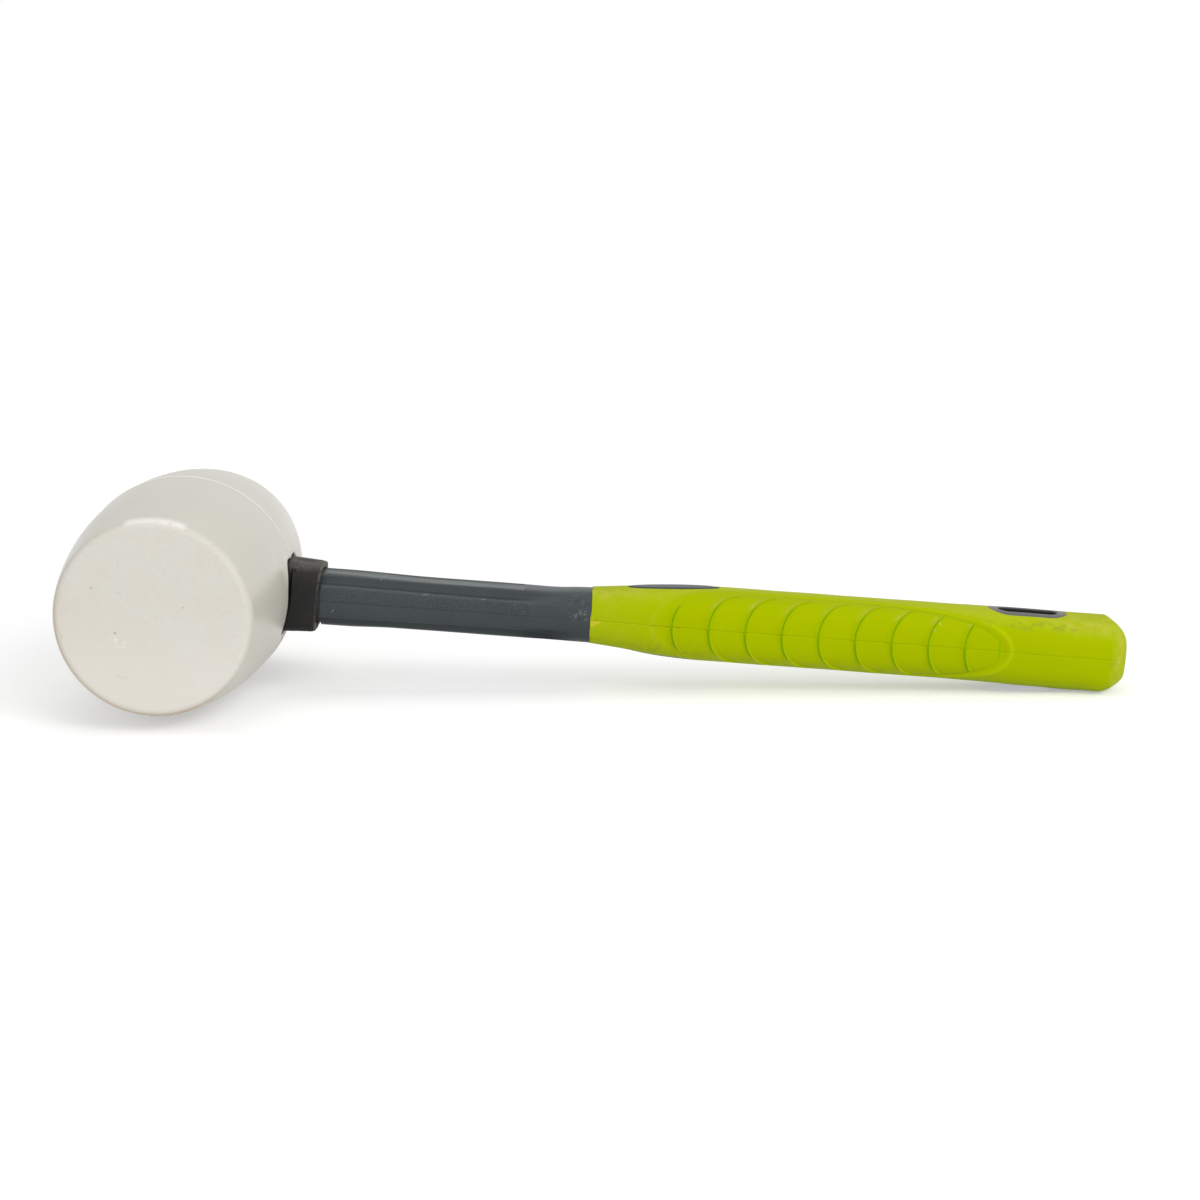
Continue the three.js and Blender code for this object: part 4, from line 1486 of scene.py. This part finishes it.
# %% Grip shell
CORE_INSET = GRIP_WALL - FIT
BORE_FLOOR = 286.8
WINDOW_GAP, WINDOW_STEP = 0.03, 0.8
FRONT_LIP = 0.12
OVAL_SKIN_SPAN, OVAL_BORE_SPAN, OVAL_SKIN_TURN = (136.0, 168.0), (168.2, 135.8), np.radians(22)
SLOT_SKIN_SPAN, SLOT_BORE_SPAN, SLOT_SKIN_TURN = (248.6, 278.4), (278.6, 248.4), np.radians(36)


def grip_window(shell, outer, bore, middle, outline, cheek):
    """From the outer rim over the skin to the outline, through the wall, and out to the bore's rim."""
    points = shell.points()
    plan = points[outer][:, :2]
    bore, bore_plan = match(bore, points[bore][:, :2], plan[0])
    edge = outline(directions(plan, middle))
    flat = crown(to_rings(plan, edge, 6), cheek=cheek)
    rings = list(grip_skin(flat[..., 0], np.arctan2(flat[..., 2], flat[..., 1])))
    foot = drawn_in(edge, CORE_INSET)
    rings.append(crown(edge, WINDOW_STEP, 0.0, cheek))
    rings += list(crown(to_rings(bore_plan, foot, 3)[::-1], CORE_INSET, 0.0, cheek))
    shell.path(outer, rings, bore)


def make_grip_shell():
    """The bore's rings, the front lip and the skin in one grid, and four windows sewn through the wall."""
    shell = Shell()
    top = np.argmin(np.abs(grip_angle - np.pi / 2))
    oval_span = rows_between(grid_s[:, top], *OVAL_SKIN_SPAN)
    slot_span = rows_between(grid_s[:, top], *SLOT_SKIN_SPAN)
    oval_rows = np.linspace(*OVAL_BORE_SPAN, oval_span[1] - oval_span[0] + 1)
    slot_rows = np.linspace(*SLOT_BORE_SPAN, slot_span[1] - slot_span[0] + 1)
    deep_end, between, front_end = [BORE_FLOOR, 283.0], [232.0, 190.0], [131.0, GRIP_FRONT]
    bore_s = np.concatenate([deep_end, slot_rows, between, oval_rows, front_end])
    half_y, half_z = grip_halves(bore_s[:, None], CORE_INSET)
    bore = section(bore_s[:, None], grip_angle, half_y, half_z, GRIP_SQUARENESS)
    edge = front_edge(grip_angle)
    bore[-1, :, 0] = edge
    half_y, half_z = grip_halves(GRIP_FRONT, FRONT_LIP)
    lip = section(edge, grip_angle, half_y, half_z, GRIP_SQUARENESS)
    skin = grip_skin(grid_s, grip_angle)
    skin[0, :, 0] += edge - GRIP_FRONT
    grid = shell.add(np.concatenate([bore, lip[None], skin]))
    start = len(bore) + 1

    shift = np.cumsum([len(deep_end), len(slot_rows), len(between)])
    bore_slot = (shift[0], shift[1] - 1)
    bore_oval = (shift[2], shift[2] + len(oval_rows) - 1)
    pairs = []
    for middle, outline, span, deep, turn in (
            (OVAL_MIDDLE, lambda angle: oval_outline(angle, WINDOW_GAP),
             oval_span, bore_oval, OVAL_SKIN_TURN),
            (SLOT_MIDDLE, lambda angle: slot_outline(angle, HOLE_RADIUS + RIM_WIDTH + WINDOW_GAP),
             slot_span, bore_slot, SLOT_SKIN_TURN)):
        for cheek in (1, -1):
            columns = columns_near(grip_angle, np.pi - cheek * np.pi / 2, turn)
            rows = (span[0] + start, span[1] + start)
            pairs.append(((rows, columns), (deep, columns), middle, outline, cheek))
    shell.net(grid, solid_cells(grid, [opening for pair in pairs for opening in pair[:2]]))
    shell.cap(grid[0][::-1], (BORE_FLOOR, 0.0, 0.0))
    shell.cap(grid[-1], (GRIP_END, 0.0, 0.0))
    for outer, deep, middle, outline, cheek in pairs:
        grip_window(shell, window(grid, *outer), window(grid, *deep), middle, outline, cheek)
    return shell


grip_shell = make_grip_shell()
print("grip shell:", grip_shell.total, "points")

# %% [markdown]
# ## Grip: lime rubber
#
# Soft lime rubber picks up dust where hands and tables touch it: on the cheeks, at the panels' front, on
# the arcs' crests and on the bevel of the butt. On the upper cheeks and the crests that paint is also a
# painted highlight, and the panels' lips carry a painted highlight too. Beside the arcs and along the
# field's edges, painted shade runs deep green. Grime sits under the front, beside the slot and along the
# bevel, and brown dirt in the parting line. The mesh carries these places, and noise makes them patchy.
# The shine of such rubber has the colour of the rubber, which the tint gives.

# %% Lime rubber
grip_s, grip_y, grip_z = grip_shell.points().T
grip_angles = np.arctan2(grip_z, grip_y)
grip_girth = palm_girth(grip_angles)
depth_inside = panel_depth(grip_s, grip_girth)
to_arc, past_arc = arc_distances(grip_s, grip_angles)
arc_there = arc_share(grip_s, grip_girth)
above = smooth(-0.3, 0.3, grip_z)
upper_half = smooth(-3.0, 4.0, grip_z)
climb_shade = bell(to_arc, 0.35, 0.38) * (1 - above) * (1 - 0.7 * smooth(6.5, 9.5, grip_girth))
drop_shade = bell(past_arc, 0.3, 0.32) * above * (1 - 0.85 * smooth(6.5, 11.0, grip_girth))
end_shade = 0.5 * bell(grip_s, FIELD_END, 0.4) * smooth(0.8, 1.6, depth_inside)
field_shade = 0.55 * bell(depth_inside, 0.85, 0.25) * smooth(190.0, 225.0, grip_s)
field_shade = field_shade * smooth(FIELD_END + 0.5, FIELD_END, grip_s) * (0.3 + 0.7 * above)
# Painted shade: deep green beside the arcs and along the field's edges.
painted_arc_shade = np.max([arc_there * climb_shade, arc_there * drop_shade, end_shade, field_shade], axis=0)
near_butt = smooth(262.0, 280.0, grip_s)
on_cheek = smooth(6.0 - 1.5 * near_butt, 13.0 - 3.0 * near_butt, grip_girth)
on_cheek = on_cheek * smooth(-0.8, -2.2, depth_inside) * upper_half
on_butt = smooth(287.4, 290.0, grip_s) * (1 - 0.5 * smooth(290.5, 293.0, grip_s))
on_front = smooth(152.0, 132.0, grip_s)
# Dust on the arcs' crests, which is also a painted highlight there.
crest_dust_and_highlight = bell(to_arc, 0.9, 0.9) * arc_there * smooth(5.5, 10.0, grip_girth) * upper_half
on_front_lip = bell(depth_inside, -0.9, 0.6) * smooth(172.0, 160.0, grip_s)
# Painted highlight: the panels' lips and the upper cheeks are painted paler lime.
painted_lip_highlight = bell(depth_inside, -0.5 - 0.8 * smooth(244.0, 252.0, grip_s), 0.6)
painted_lip_highlight = painted_lip_highlight * smooth(160.0, 200.0, grip_s) * (1 - 0.6 * above * smooth(252.0, 244.0, grip_s))
painted_lip_highlight = np.maximum(painted_lip_highlight, 0.7 * on_cheek * (1 - near_butt) * (1 - on_front))
# Dust on the upper cheeks, also painted sheen that grows towards the top.
cheek_dust_and_sheen = on_cheek * (0.55 + 0.45 * np.maximum(near_butt, on_front))
front_dust = 0.3 * on_front_lip + 0.22 * on_front
dusty = np.clip(cheek_dust_and_sheen + on_butt + 1.1 * crest_dust_and_highlight + front_dust, 0.0, 1.0)
under_front = smooth(168.0, 154.0, grip_s) * smooth(126.0, 146.0, grip_s) * smooth(-2.5, -8.0, grip_z)
beside_slot = bell(grip_s, 266.0, 16.0) * bell(grip_girth, 8.6, 1.5) * upper_half
bevel_edge = bell(grip_s, 288.9, 0.9) * smooth(2.5, -2.0, grip_z)
grimy = np.clip(0.55 * under_front + beside_slot + bevel_edge, 0.0, 1.0)
in_seam = bell(grip_z, 0.0, GROOVE_WIDTH) * (0.3 + 0.7 * smooth(215.0, 165.0, grip_s))


def lime_rubber():
    """Cloudy lime with painted shade at the arcs, painted highlights, dust, soil and single marks over it.
    """
    finish = Finish("lime_rubber", 0.6, 0.12)
    finish.shader.inputs["Specular Tint"].default_value = srgb(200, 215, 0)
    dust, grime, arc_shade, lip, seam = finish.painted("dust", "grime", "arc_shade", "lip", "seam")
    cloud = finish.noise(22.0, 3.0)
    patch = finish.noise(3.2, 5.0)
    grain = finish.noise(0.45, 2.0)
    dust_and_sheen = finish.math("MULTIPLY", dust, finish.between(finish.ease(patch, 0.3, 0.7), 0.3, 1.3))
    soil = finish.patchy(grime, 2.4, 5.0, 0.44, 0.62)
    dirt = finish.patchy(seam, 6.0, 3.0, 0.46, 0.64)
    marks = finish.strokes(((145.2, -11.2, 0.0), (146.6, -11.2, 0.0), 0.45),
                           ((153.4, -11.3, 0.0), (154.2, -11.3, 0.0), 0.7),
                           ((128.4, -9.6, 0.6), (128.8, -9.6, 0.6), 0.5),
                           ((256.0, -12.0, -7.4), (256.2, -12.0, -7.4), 0.5))
    flake = finish.strokes(((126.8, -9.6, -0.7), (129.4, -9.6, -0.5), 1.2),
                           ((127.0, -9.6, -1.6), (128.2, -9.6, -1.2), 1.3))
    nicks = finish.strokes(((234.2, -10.6, 7.3), (234.8, -10.6, 6.8), 0.4),
                           ((232.7, -11.2, 5.1), (233.1, -11.2, 4.9), 0.4))
    specks = finish.dots(5.5, 0.16, 0.25)
    finish.colour(finish.cover(
        finish.mix(cloud, srgb(164, 181, 0), srgb(173, 189, 0)),
        # painted shade beside the arcs
        (arc_shade, 0.85, (98, 160, 0)),
        # painted highlight on the lips and upper cheeks
        (lip, 0.6, (188, 204, 10)),
        # dust, partly painted sheen and highlight
        (dust_and_sheen, 0.6, (194, 198, 66)),
        (soil, 0.5, (140, 138, 52)),
        (dirt, 0.5, (150, 138, 24)),
        (marks, 0.55, (142, 116, 32)),
        (flake, 0.75, (206, 196, 58)),
        (nicks, 0.7, (214, 222, 150)),
        (specks, 0.4, (200, 204, 120))))
    finish.rough(finish.between(dust_and_sheen, 0.55, 0.8))
    finish.bump((grain, 0.02), (finish.noise(2.0, 2.0), 0.02))
    return finish.material


make_piece("lime_grip", grip_shell, "grip", lime_rubber(),
           {"dust": dusty, "grime": grimy, "arc_shade": painted_arc_shade, "lip": painted_lip_highlight, "seam": in_seam})
